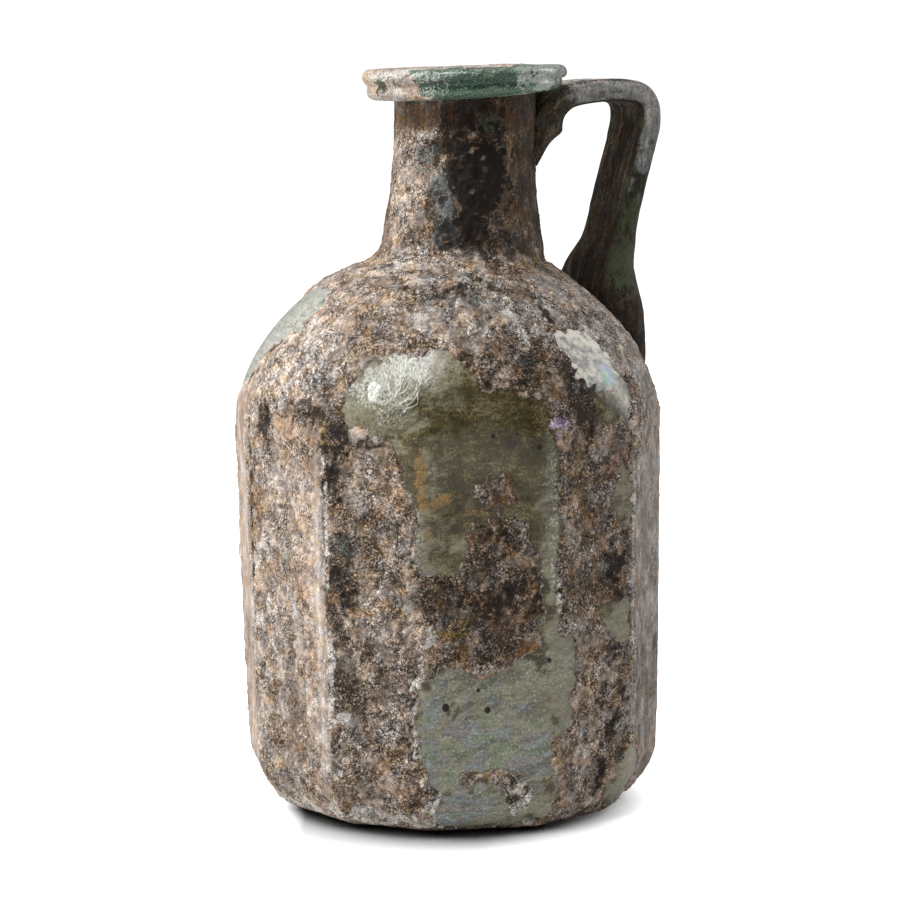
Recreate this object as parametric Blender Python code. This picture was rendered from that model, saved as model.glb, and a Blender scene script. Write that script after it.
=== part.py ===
"""An ancient glass jug: twelve-sided body, round shoulder, plain neck, folded rim and a strap handle.

The jug is one closed solid of glass with a true wall: its outside, its handle and its hollow are three
shapes, joined and cut by Booleans. The origin is the middle of the flat underside, +Z is up, and the
handle stands towards +X. All sizes are in metres.
"""

import math

import bmesh
import bpy

MM = 0.001

# Heights above the table
HEEL_TOP = 14 * MM
FACET_FADE_START = 84 * MM
SHOULDER_START = 98 * MM
FACET_FADE_END = 114 * MM
NECK_ROOT = 138 * MM
NECK_BASE = 146 * MM
RIM_UNDERSIDE = 181 * MM
RIM_TOP = 189.3 * MM

# Radii of the outside, on the ridges between the facets
FOOT_RADIUS = 43 * MM
HEEL_RADIUS = 53.6 * MM
BODY_RADIUS = 55.2 * MM
NECK_RADIUS = 18.2 * MM
RIM_RADIUS = 26.6 * MM

# How the outside curves between those heights and radii
HEEL_POWER = 1.3
SHOULDER_RISE = 45.8 * MM
SHOULDER_POWER = 1.75
NECK_FLARE = 2.6 * MM
NECK_FLARE_END = 168 * MM
NECK_FILLET = 4.4 * MM
NECK_FILLET_REACH = 2.2 * MM

# The folded collar from its underside to its lip: how far in from the rim's radius, and share of its height
RIM_STEPS = (
    (2.8 * MM, 0.0),
    (1.2 * MM, 0.12),
    (0.8 * MM, 0.3),
    (1.1 * MM, 0.48),
    (0.2 * MM, 0.66),
    (0.0, 0.8),
    (0.6 * MM, 0.93),
    (1.8 * MM, 1.0),
    (5.0 * MM, 1.0),
)

# Rings of points along each part of the outside
HEEL_RINGS = 5
WALL_RINGS = 7
SHOULDER_RINGS = 10
NECK_RINGS = 12

# The twelve pressed facets: the front one is wider than the rest
FACETS = 12
FRONT_FACET_MIDDLE = math.radians(-104.3)
FRONT_FACET_WIDTH = math.radians(35.2)
FACET_HOLLOW = 0.45 * MM
COLUMNS_PER_FACET = 5

# The vessel isn't true: the body leans a little away from the handle, and the neck and rim towards it
BODY_LEAN = -1.4 * MM
NECK_LEAN = 3.0 * MM
RIM_LEAN = 3.6 * MM
RIM_TILT = math.radians(2.0)
RIM_THINNING = 0.2
RIM_DROOP = 2.2 * MM
FOOT_OVAL = 0.02

# The glass
BODY_WALL = 3.0 * MM
NECK_WALL = 3.8 * MM
BASE_THICKNESS = 4.5 * MM
CORNER_INSET = 5.5 * MM
CORNER_RISE = 5.0 * MM
BORE_FLARE = 3.0 * MM
BORE_SWELL = 0.6 * MM
HOLLOW_COLUMNS = 36
HOLLOW_WALL_RINGS = 4
HOLLOW_SHOULDER_RINGS = 9

# The strap handle
STRAP_WIDTH = 21.5 * MM
STRAP_THICKNESS = 5.9 * MM
FOOT_WIDTH = 37 * MM
FOOT_THICKNESS = 12 * MM
TIP_WIDTH = 24 * MM
TIP_THICKNESS = 5 * MM
ROOT_SWELL = 1.2 * MM
GROOVE_DEPTH = 0.7 * MM
HANDLE_STATIONS = 34
STRAP_FACE_POINTS = 7
STRAP_EDGE_STEPS = 4

# The strap's middle line in the plane of the handle, from inside the neck's wall round to the shoulder
HANDLE_SPINE = (
    (17.4 * MM, 165.5 * MM),
    (20.2 * MM, 170.5 * MM),
    (23.4 * MM, 176.4 * MM),
    (29.5 * MM, 181.3 * MM),
    (37.5 * MM, 182.8 * MM),
    (45.0 * MM, 183.0 * MM),
    (51.0 * MM, 181.7 * MM),
    (53.2 * MM, 176.5 * MM),
    (51.6 * MM, 168.5 * MM),
    (49.2 * MM, 160.0 * MM),
    (47.0 * MM, 151.5 * MM),
    (45.2 * MM, 143.5 * MM),
    (42.8 * MM, 136.8 * MM),
    (42.3 * MM, 130.0 * MM),
    (44.2 * MM, 123.0 * MM),
    (46.4 * MM, 116.5 * MM),
    (47.6 * MM, 110.5 * MM),
    (46.5 * MM, 104.5 * MM),
)

COLOUR = (0.33, 0.27, 0.21, 1.0)


def blend(start, end, share):
    """The value a share of the way from start to end."""
    return start + (end - start) * share


def ease(low, high, value):
    """0 below low, 1 above high and a smooth rise between."""
    share = min(max((value - low) / (high - low), 0.0), 1.0)
    return share * share * (3 - 2 * share)


def facet_columns():
    """The angle of each column of points, with its share of the way across its facet."""
    others = (2 * math.pi - FRONT_FACET_WIDTH) / (FACETS - 1)
    start = FRONT_FACET_MIDDLE - FRONT_FACET_WIDTH / 2
    columns = []
    for facet in range(FACETS):
        width = FRONT_FACET_WIDTH if facet == 0 else others
        for column in range(COLUMNS_PER_FACET):
            share = column / COLUMNS_PER_FACET
            columns.append((start + share * width, share, width))
        start += width
    return columns


def facet_factor(share, width):
    """How far in a facet's surface lies, as a factor of the radius of the ridges beside it."""
    flat = math.cos(width / 2) / math.cos((share - 0.5) * width)
    return flat - FACET_HOLLOW / BODY_RADIUS * math.sin(math.pi * share) ** 2


def facet_strength(z):
    """1 where the body is faceted, fading to 0 where the shoulder is round."""
    return 1 - ease(FACET_FADE_START, FACET_FADE_END, z)


def lean(z):
    """How far the vessel's axis stands towards the handle at a height."""
    body = BODY_LEAN * ease(0, SHOULDER_START, z)
    neck = (NECK_LEAN - BODY_LEAN) * ease(NECK_ROOT - 4 * MM, NECK_BASE - 2 * MM, z)
    rim = (RIM_LEAN - NECK_LEAN) * ease(NECK_BASE, RIM_UNDERSIDE, z)
    return body + neck + rim


def heel_profile(steps):
    """From the edge of the flat underside out and up to the wall."""
    for step in range(steps + 1):
        angle = math.pi / 2 * step / steps
        out = math.sin(angle) ** HEEL_POWER
        up = 1 - math.cos(angle) ** HEEL_POWER
        yield blend(FOOT_RADIUS, HEEL_RADIUS, out), HEEL_TOP * up


def wall_profile(steps):
    """Up the faceted wall, which widens slightly."""
    for step in range(1, steps):
        share = step / steps
        swell = math.sin(math.pi / 2 * share)
        yield blend(HEEL_RADIUS, BODY_RADIUS, swell), blend(HEEL_TOP, SHOULDER_START, share)


def shoulder_profile(steps):
    """The round shoulder, a superellipse that ends where the neck begins."""
    end = NECK_ROOT - SHOULDER_START
    for step in range(steps + 1):
        up = end * math.sin(math.pi / 2 * step / steps)
        radius = BODY_RADIUS * math.sqrt(1 - (up / SHOULDER_RISE) ** SHOULDER_POWER)
        yield radius, SHOULDER_START + up


def neck_profile(steps):
    """In from the shoulder, then up the neck, which narrows to just under the rim."""
    for step in range(1, steps + 1):
        z = blend(NECK_ROOT, RIM_UNDERSIDE, step / steps)
        flare = NECK_FLARE * (1 - ease(NECK_ROOT, NECK_FLARE_END, z))
        fillet = NECK_FILLET * math.exp(-(z - NECK_ROOT) / NECK_FILLET_REACH)
        yield NECK_RADIUS + flare + fillet, z


def rim_profile():
    """The folded collar: a lower bead, a shallow groove and the upper lip, then in over the top."""
    height = RIM_TOP - RIM_UNDERSIDE
    for inset, share in RIM_STEPS:
        yield RIM_RADIUS - inset, RIM_UNDERSIDE + share * height


def rim_shape(x, z):
    """Tilts the rim up towards the handle, and thins the collar and lets its lip droop there."""
    if z <= RIM_UNDERSIDE - 1 * MM:
        return z
    towards = x / RIM_RADIUS
    thinner = RIM_THINNING * (RIM_TOP - z) * (0.5 + 0.5 * towards)
    droop = RIM_DROOP * ease(0.78, 1.0, towards) * ease(RIM_UNDERSIDE, RIM_TOP, z)
    return z + thinner - droop + x * math.tan(RIM_TILT)


def outside_rings():
    """Rings of points from the underside to the top of the rim."""
    profile = [*heel_profile(HEEL_RINGS), *wall_profile(WALL_RINGS)]
    profile += [*shoulder_profile(SHOULDER_RINGS), *neck_profile(NECK_RINGS), *rim_profile()]
    rings = []
    for radius, z in profile:
        strength = facet_strength(z)
        ring = []
        oval = FOOT_OVAL * (1 - ease(0, HEEL_TOP, z))
        for angle, share, width in facet_columns():
            out = radius * blend(1, facet_factor(share, width), strength)
            out *= 1 + oval * math.cos(2 * (angle - FRONT_FACET_MIDDLE))
            x, y = out * math.cos(angle), out * math.sin(angle)
            ring.append((x + lean(z), y, rim_shape(x, z)))
        rings.append(ring)
    return rings


def floor_profile():
    """The hollow's flat floor and its rounded corner."""
    yield FOOT_RADIUS - 6 * MM, BASE_THICKNESS
    yield FOOT_RADIUS + 1 * MM, BASE_THICKNESS + 1.5 * MM
    yield HEEL_RADIUS - CORNER_INSET, BASE_THICKNESS + CORNER_RISE
    yield HEEL_RADIUS - CORNER_INSET + 0.9 * MM, HEEL_TOP


def hollow_side_profile():
    """Up inside the wall and the shoulder, clear of the facets, which lie further in than the ridges."""
    faceted_wall = BODY_WALL + BODY_RADIUS * (1 - math.cos(FRONT_FACET_WIDTH / 2))
    for radius, z in [*wall_profile(HOLLOW_WALL_RINGS), *shoulder_profile(HOLLOW_SHOULDER_RINGS)]:
        wall = blend(BODY_WALL, faceted_wall, facet_strength(z))
        lower = ease(SHOULDER_START, NECK_ROOT, z) * BODY_WALL
        yield radius - wall, z - lower


def bore_profile():
    """Up the neck's bore, which widens at both ends, and out of the mouth."""
    bore = NECK_RADIUS - NECK_WALL
    yield bore + BORE_FLARE, NECK_ROOT + 1 * MM
    yield bore + 2 * BORE_SWELL, NECK_BASE - 4 * MM
    yield bore + BORE_SWELL, NECK_BASE + 8 * MM
    yield bore, RIM_UNDERSIDE - 4 * MM
    yield bore + BORE_SWELL, RIM_UNDERSIDE + 3 * MM
    yield bore + BORE_FLARE, RIM_TOP + 4 * MM


def hollow_rings():
    """Rings of points of the hollow, from its floor to above the rim."""
    turn = 2 * math.pi / HOLLOW_COLUMNS
    rings = []
    for radius, z in [*floor_profile(), *hollow_side_profile(), *bore_profile()]:
        ring = []
        for column in range(HOLLOW_COLUMNS):
            x = radius * math.cos(column * turn)
            y = radius * math.sin(column * turn)
            ring.append((x + lean(z), y, z))
        rings.append(ring)
    return rings


def curve_between(a, b, c, d, t):
    """A share t of the way from b to c on the Catmull-Rom curve through a, b, c and d."""
    slope = (c - a) * t
    bend = (2 * a - 5 * b + 4 * c - d) * t**2
    twist = (3 * b - a - 3 * c + d) * t**3
    return 0.5 * (2 * b + slope + bend + twist)


def smooth_line(points, count):
    """Points spaced evenly in parameter along a Catmull-Rom curve through the given ones."""
    padded = [points[0], *points, points[-1]]
    line = []
    for step in range(count):
        place = step * (len(points) - 1) / (count - 1)
        start = min(int(place), len(points) - 2)
        x, z = (curve_between(*values, place - start) for values in zip(*padded[start : start + 4]))
        line.append((x, z))
    return line


def strap_section(width, thickness):
    """A strap's section as (across, out): half-round edges, two outer grooves and an inner one."""
    half, reach = thickness / 2, (width - thickness) / 2
    points = []
    for face, grooves in ((1, 2), (-1, 1)):
        for step in range(STRAP_FACE_POINTS):
            share = step / (STRAP_FACE_POINTS - 1)
            ripple = GROOVE_DEPTH * (0.5 - 0.5 * math.cos(2 * math.pi * grooves * share))
            points.append((face * blend(reach, -reach, share), face * (half - ripple)))
        for step in range(1, STRAP_EDGE_STEPS):
            turn = math.pi * step / STRAP_EDGE_STEPS
            points.append((-face * (reach + half * math.sin(turn)), face * half * math.cos(turn)))
    return points


def handle_rings():
    """Sections of the strap along its spine, with a wide, thick foot that thins out on the shoulder."""
    line = smooth_line(HANDLE_SPINE, HANDLE_STATIONS)
    rings = []
    for index, (x, z) in enumerate(line):
        before, after = line[max(index - 1, 0)], line[min(index + 1, len(line) - 1)]
        along = math.atan2(after[1] - before[1], after[0] - before[0])
        out = (-math.sin(along), math.cos(along))
        place = index / (len(line) - 1)
        root = 1 - ease(0.0, 0.2, place)
        foot = ease(0.62, 0.76, place)
        tip = ease(0.8, 1.0, place)
        width = blend(blend(STRAP_WIDTH, FOOT_WIDTH, foot), TIP_WIDTH, tip)
        thickness = blend(blend(STRAP_THICKNESS, FOOT_THICKNESS, foot), TIP_THICKNESS, tip)
        section = strap_section(width, thickness + ROOT_SWELL * root)
        rings.append([(x + out[0] * rise, across, z + out[1] * rise) for across, rise in section])
    return rings


def loft(name, rings):
    """A closed mesh object through rings of equal count, with a flat cap at each end."""
    shape = bmesh.new()
    loops = [[shape.verts.new(point) for point in ring] for ring in rings]
    for lower, upper in zip(loops, loops[1:]):
        for i in range(len(lower)):
            j = (i + 1) % len(lower)
            shape.faces.new((lower[i], lower[j], upper[j], upper[i]))
    shape.faces.new(reversed(loops[0]))
    shape.faces.new(loops[-1])
    bmesh.ops.recalc_face_normals(shape, faces=shape.faces)
    mesh = bpy.data.meshes.new(name)
    shape.to_mesh(mesh)
    shape.free()
    part = bpy.data.objects.new(name, mesh)
    bpy.context.scene.collection.objects.link(part)
    return part


def helper(name, rings):
    """A lofted shape that only joins or cuts the jug, and isn't a piece itself."""
    part = loft(name, rings)
    part.hide_render = True
    part.display_type = "WIRE"
    return part


def combine(part, other, operation):
    """Joins another shape to the part, or cuts it out, with an exact Boolean."""
    step = part.modifiers.new(f"{operation.lower()} {other.name}", "BOOLEAN")
    step.operation = operation
    step.object = other
    step.solver = "EXACT"


def weathered_glass():
    """Buried glass under a matt brown crust."""
    material = bpy.data.materials.new("weathered glass")
    material.use_nodes = True
    shader = material.node_tree.nodes["Principled BSDF"]
    shader.inputs["Base Color"].default_value = COLOUR
    shader.inputs["Roughness"].default_value = 0.75
    shader.inputs["Metallic"].default_value = 0.0
    return material


def main():
    for old in list(bpy.data.objects):
        bpy.data.objects.remove(old)
    jug = loft("jug", outside_rings())
    combine(jug, helper("handle", handle_rings()), "UNION")
    combine(jug, helper("hollow", hollow_rings()), "DIFFERENCE")
    jug.data.materials.append(weathered_glass())
    jug.data.shade_smooth()
    jug.data.set_sharp_from_angle(angle=math.radians(25))


main()
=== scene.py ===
"""The looks of an ancient glass jug: olive glass under a matt burial crust that has flaked off in windows.

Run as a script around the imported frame. Shapes are worked out in millimetres and become metres when a mesh
is made. On the vessel a place is an angle, in degrees round from the middle of the wide front facet and
counted towards the handle, and a height above the table.
"""

import functools
import itertools
import math

import bpy
import mathutils
import numpy as np
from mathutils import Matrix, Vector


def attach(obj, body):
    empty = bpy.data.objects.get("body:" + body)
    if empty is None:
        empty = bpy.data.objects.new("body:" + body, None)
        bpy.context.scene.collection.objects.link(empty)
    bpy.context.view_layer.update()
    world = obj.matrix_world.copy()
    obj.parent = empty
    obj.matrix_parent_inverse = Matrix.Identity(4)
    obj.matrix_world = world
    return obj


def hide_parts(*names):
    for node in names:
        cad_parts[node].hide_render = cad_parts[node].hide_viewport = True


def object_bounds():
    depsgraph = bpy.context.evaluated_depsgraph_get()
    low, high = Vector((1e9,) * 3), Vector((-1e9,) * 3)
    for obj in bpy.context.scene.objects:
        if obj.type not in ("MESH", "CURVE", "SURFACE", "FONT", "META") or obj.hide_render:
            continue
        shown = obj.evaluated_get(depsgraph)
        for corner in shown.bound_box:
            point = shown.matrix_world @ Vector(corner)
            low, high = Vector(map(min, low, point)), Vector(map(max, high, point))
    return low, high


bl_info = {
    "name": "Ancient Glass Jug",
    "version": (1, 0, 0),
    "blender": (4, 5, 0),
    "location": "3D Viewport > Sidebar > Glass Jug",
    "description": "Builds the weathered glass, its crust, its flakes and the studio around the packed jug",
    "category": "Add Mesh",
}

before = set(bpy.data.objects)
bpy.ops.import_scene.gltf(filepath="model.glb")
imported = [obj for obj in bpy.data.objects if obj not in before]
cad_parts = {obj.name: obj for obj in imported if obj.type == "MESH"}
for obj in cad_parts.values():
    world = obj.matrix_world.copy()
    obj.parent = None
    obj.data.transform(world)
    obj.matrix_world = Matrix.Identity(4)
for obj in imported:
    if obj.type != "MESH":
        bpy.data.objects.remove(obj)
CAD_BOX = [list(corner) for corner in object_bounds()]
HEIGHT = CAD_BOX[1][2]

MM = 0.001

# Heights of the vessel's parts, in mm
HEEL_TOP = 14
FACET_FADE_START = 84
SHOULDER_START = 98
FACET_FADE_END = 114
NECK_ROOT = 138
NECK_BASE = 146
RIM_UNDERSIDE = 181
RIM_TOP = 189.3

# Radii of the outside on the ridges between the facets, and how the outside curves between them, in mm
FOOT_RADIUS = 43
HEEL_RADIUS = 53.6
BODY_RADIUS = 55.2
NECK_RADIUS = 18.2
RIM_RADIUS = 26.6
HEEL_POWER = 1.3
SHOULDER_RISE = 45.8
SHOULDER_POWER = 1.75
NECK_FLARE = 2.6
NECK_FLARE_END = 168
NECK_FILLET = 4.4
NECK_FILLET_REACH = 2.2
UNDERSIDE_HOLLOW = 1.4

# The folded collar from its underside to its lip: how far in from the rim's radius, and share of its height
RIM_STEPS = (
    (5.0, -0.02), (2.8, 0), (1.6, 0.1), (1.2, 0.28), (1.3, 0.46), (0.4, 0.62), (0, 0.78), (0.5, 0.93),
)
LIP_STEPS = ((1.8, 1.0), (5.0, 1.0), (8.3, 0.9))

# The twelve pressed facets, in degrees and mm
FRONT_FACET_TURN = -104.3
FRONT_FACET_WIDTH = 35.2
FACET_WIDTH = (360 - FRONT_FACET_WIDTH) / 11
FACET_HOLLOW = 0.45
RIDGE_ROUNDING = (-1.4, -0.7, 0.0, 0.7, 1.4)

# One ridge stands off its true place: where, by how many degrees, and how far round that tells
SLIPPED_RIDGE = (-45, 2.6, 13)

# How far the vessel is from true, in mm and degrees
BODY_LEAN = -1.4
NECK_LEAN = 3.0
RIM_LEAN = 3.6
RIM_TILT = math.tan(math.radians(2))
RIM_THINNING = 0.2
RIM_DROOP = 2.2
FOOT_OVAL = 0.02

# The walls and the hollow, in mm. The glass lies under the outside by the usual crust.
GLASS_INSET = 0.4
WALL = 3.0
FACETED_WALL = WALL + BODY_RADIUS * (1 - math.cos(math.radians(FRONT_FACET_WIDTH / 2)))
BASE_THICKNESS = 4.5
BORE_RADIUS = 14.4
LINING = 0.3

# The spacing of the glass's points: round it in degrees, and along its parts in mm
GLASS_TURN = 1.25
GLASS_SPACING = {"body": 1.2, "neck": 1.5, "rim": 0.5, "hollow": 2.0}

# The angles from which and to which each piece of the body's crust runs
CRUST_PARTS = {"crust_front_left": (-104, -12), "crust_front_right": (-12, 88), "crust_back": (88, 256)}

# The hollow: how much wider than the bore it is at each height, and radius and height along its floor
BORE_STEPS = (
    (2.6, RIM_TOP - 2.5), (1.0, RIM_UNDERSIDE), (0, 175.0), (0.6, 154.0), (1.2, 142.0), (3, 139.0),
)
FLOOR_STEPS = ((49.0, 14.0), (48.1, 9.5), (44.0, 6.0), (37.0, BASE_THICKNESS), (0.4, BASE_THICKNESS))

# The strap handle, in mm: its middle line from inside the neck's wall round to the shoulder, and the width
# and thickness of the strap, of its widest foot and of its tip
HANDLE_SPINE = (
    (17.4, 165.5), (20.2, 170.5), (23.4, 176.4), (29.5, 181.3), (37.5, 182.8), (45.0, 183.0),
    (51.0, 181.7), (53.2, 176.5), (51.6, 168.5), (49.2, 160.0), (47.0, 151.5), (45.2, 143.5),
    (42.8, 136.8), (42.3, 130.0), (44.2, 123.0), (46.4, 116.5), (47.6, 110.5), (46.5, 104.5),
)
STRAP = (21.5, 5.9)
HANDLE_FOOT = (37.0, 9.5)
HANDLE_TIP = (24.0, 5.0)
ROOT_SWELL = 1.2
GROOVE_DEPTH = 0.7

# The lump of glass under the handle's root: share of the strap's length, height in mm, and half its share
KNOB = (0.088, 2.1, 0.028)

# How far a degree reaches round the body, and round the neck and the rim, in mm
MM_PER_DEGREE = math.radians(54)
NECK_MM_PER_DEGREE = math.radians(22)

# Outlines of the windows where the crust has flaked off, as angle and height
WINDOWS = {
    "upper": (
        (-39, 105), (-38, 113), (-34, 116.5), (-29, 119), (-20, 119), (-12, 120.5), (-6, 118), (-3, 116),
        (-1, 111), (4, 110), (9, 111), (16, 108.5), (18.5, 101), (19.5, 90), (20.5, 70), (19, 61),
        (15, 62), (15, 68), (12.5, 75), (11, 78), (4, 79.5), (-3, 78), (-6, 75), (-5, 70), (-8, 66),
        (-18, 66), (-19, 72), (-18, 80), (-20, 87), (-22.5, 95), (-25, 99), (-31, 101), (-36, 102),
    ),
    "ridge strip": ((15, 63), (19.5, 63), (18.5, 50), (25, 48), (26, 41), (14, 44), (14, 51)),
    "lower": (
        (-20, 38), (-16, 40.5), (-13, 43.5), (-9, 43), (-5, 40), (-1, 39), (3, 40), (9, 44), (13, 47.5),
        (20, 50), (25, 48), (26, 42), (24, 33), (25, 28), (20, 25), (17.5, 22), (20, 16), (20, 5),
        (14, 2.6), (0, 1), (-14, 2.8), (-16, 7), (-14, 11), (-18, 16), (-19.3, 22), (-19.3, 28),
        (-20.5, 34),
    ),
    "ridge spot high": (
        (33, 107), (36, 111), (42, 112), (47, 109), (49, 106), (44, 101.5), (36, 101), (32, 104),
    ),
    "ridge spot middle": ((43, 92), (46.5, 87), (47, 76), (44, 73.5), (40, 80), (39.5, 86)),
    "ridge spot low": ((35, 56), (39, 57.5), (46, 57), (46, 46), (40, 46.5), (35, 52)),
    "heel": ((48, 20), (58, 14), (62, 8), (50, 3), (41, 4), (38, 9), (44, 14)),
    "left shoulder": (
        (-86, 109), (-82, 113), (-77, 119), (-71, 121), (-66, 124), (-66, 130), (-74, 134), (-88, 135),
        (-112, 131), (-127, 120), (-117, 107), (-100, 106),
    ),
    "right shoulder": (
        (25, 122), (34, 124), (41, 122.5), (44.5, 118), (46.5, 114), (50.5, 111.5), (51, 107), (46, 106),
        (40, 110), (32, 110.5), (29, 113), (28, 117),
    ),
    "back": ((138, 88), (150, 97), (168, 94), (171, 80), (164, 66), (150, 60), (141, 68), (134, 78)),
    "back low": ((-165, 46), (-152, 50), (-143, 42), (-146, 26), (-158, 18), (-170, 24), (-172, 36)),
}
ISLANDS = {
    "middle island": (
        (-2.5, 84), (-3, 87), (-0.5, 88.5), (1, 91), (4, 89.8), (6, 91), (8.5, 89), (8, 86.5), (9.5, 84),
        (5, 83.4), (3, 81), (0, 82.5),
    ),
    "ring": (
        (-10, 14), (-6, 17), (3, 17), (7, 16.5), (9, 13.5), (12.5, 10), (11.5, 6), (8, 4.6), (5, 9),
        (2.5, 12), (-2, 14.3), (-6, 12.8),
    ),
    "back island": ((140, 74), (149, 80), (158, 76), (155, 68), (144, 66)),
}

# Where the edge of the crust curls up, with a crack behind it: angle, height, and half sizes in mm
CURLED = (
    (-20, 28, 4, 13), (-76, 112, 9, 9), (8, 60, 12, 9), (-17, 66, 3, 14), (31, 64, 4, 8), (-17, 8, 4, 6),
    (8, 10, 7, 6), (-15, 42, 6, 4),
)

# Small round openings in the crust: angle, height, and half sizes across and up, in mm
CLEAR_SPOTS = (
    (-27, 134, 2.0, 1.3), (-62, 80, 1.2, 0.8), (96, 60, 4, 6), (-128, 84, 3, 7), (118, 116, 6, 4),
)

# Tone of the crust, from dark brown (0) to pale tan (1): where each band of facets starts, and its tone
# The bands on the left and the one from 46.5 degrees are lighter partly as painted light, where the left
# softbox and the right strip fall on them
FACET_TONES = (
    (-180, 0.55), (-104, 0.66), (-75, 0.69), (-46.8, 0.5), (-17.6, 0.43), (17.6, 0.51), (46.5, 0.59),
    (78, 0.55),
)
SHOULDER_TONE = 0.6
RIM_TONE = 0.79
# The neck's tone is lighter on its left and darker on its front and right, partly as painted light and shade
# from the left softbox
NECK_TONES = ((-180, 0.5), (-100, 0.6), (-34, 0.33), (26, 0.25), (90, 0.4))

# Broad change of that tone: angle, height, half sizes in mm, amount
# The narrow lighter strip at -47 degrees, beside the slipped ridge, is a painted highlight on the hollow
# facet's edge
TONES = (
    (-62, 22, 12, 16, -0.12), (-33, 97, 9, 9, 0.06), (-40, 70, 5, 16, -0.12), (-27, 66, 8, 30, 0.06),
    (0, 58, 18, 16, -0.06), (-50, 103.5, 14, 4.5, -0.2), (-55, 112, 13, 7, 0.17), (-55, 122, 14, 8, 0.12),
    (-25, 130, 24, 8, 0.04), (15, 116, 16, 7, -0.22), (30, 108, 10, 12, -0.22), (66, 124, 16, 14, 0.1),
    (32, 30, 12, 26, 0.1), (-20, 137, 50, 3, 0.1), (-60, 150, 9, 8, 0.08), (-2, 145, 8, 4, -0.12),
    (-47, 52, 2.6, 46, 0.16), (-45, 177, 120, 5, -0.3), (-55, 157, 30, 7, 0.12), (-40, 168, 50, 4, -0.08),
    (-90, 112, 30, 10, 0.1), (-67, 112, 12, 10, 0.1), (-10, 146, 70, 6, -0.1), (-60, 126, 18, 10, 0.2),
    (-78, 100, 6, 10, 0.1), (-95, 80, 16, 34, 0.09),
)

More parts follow.
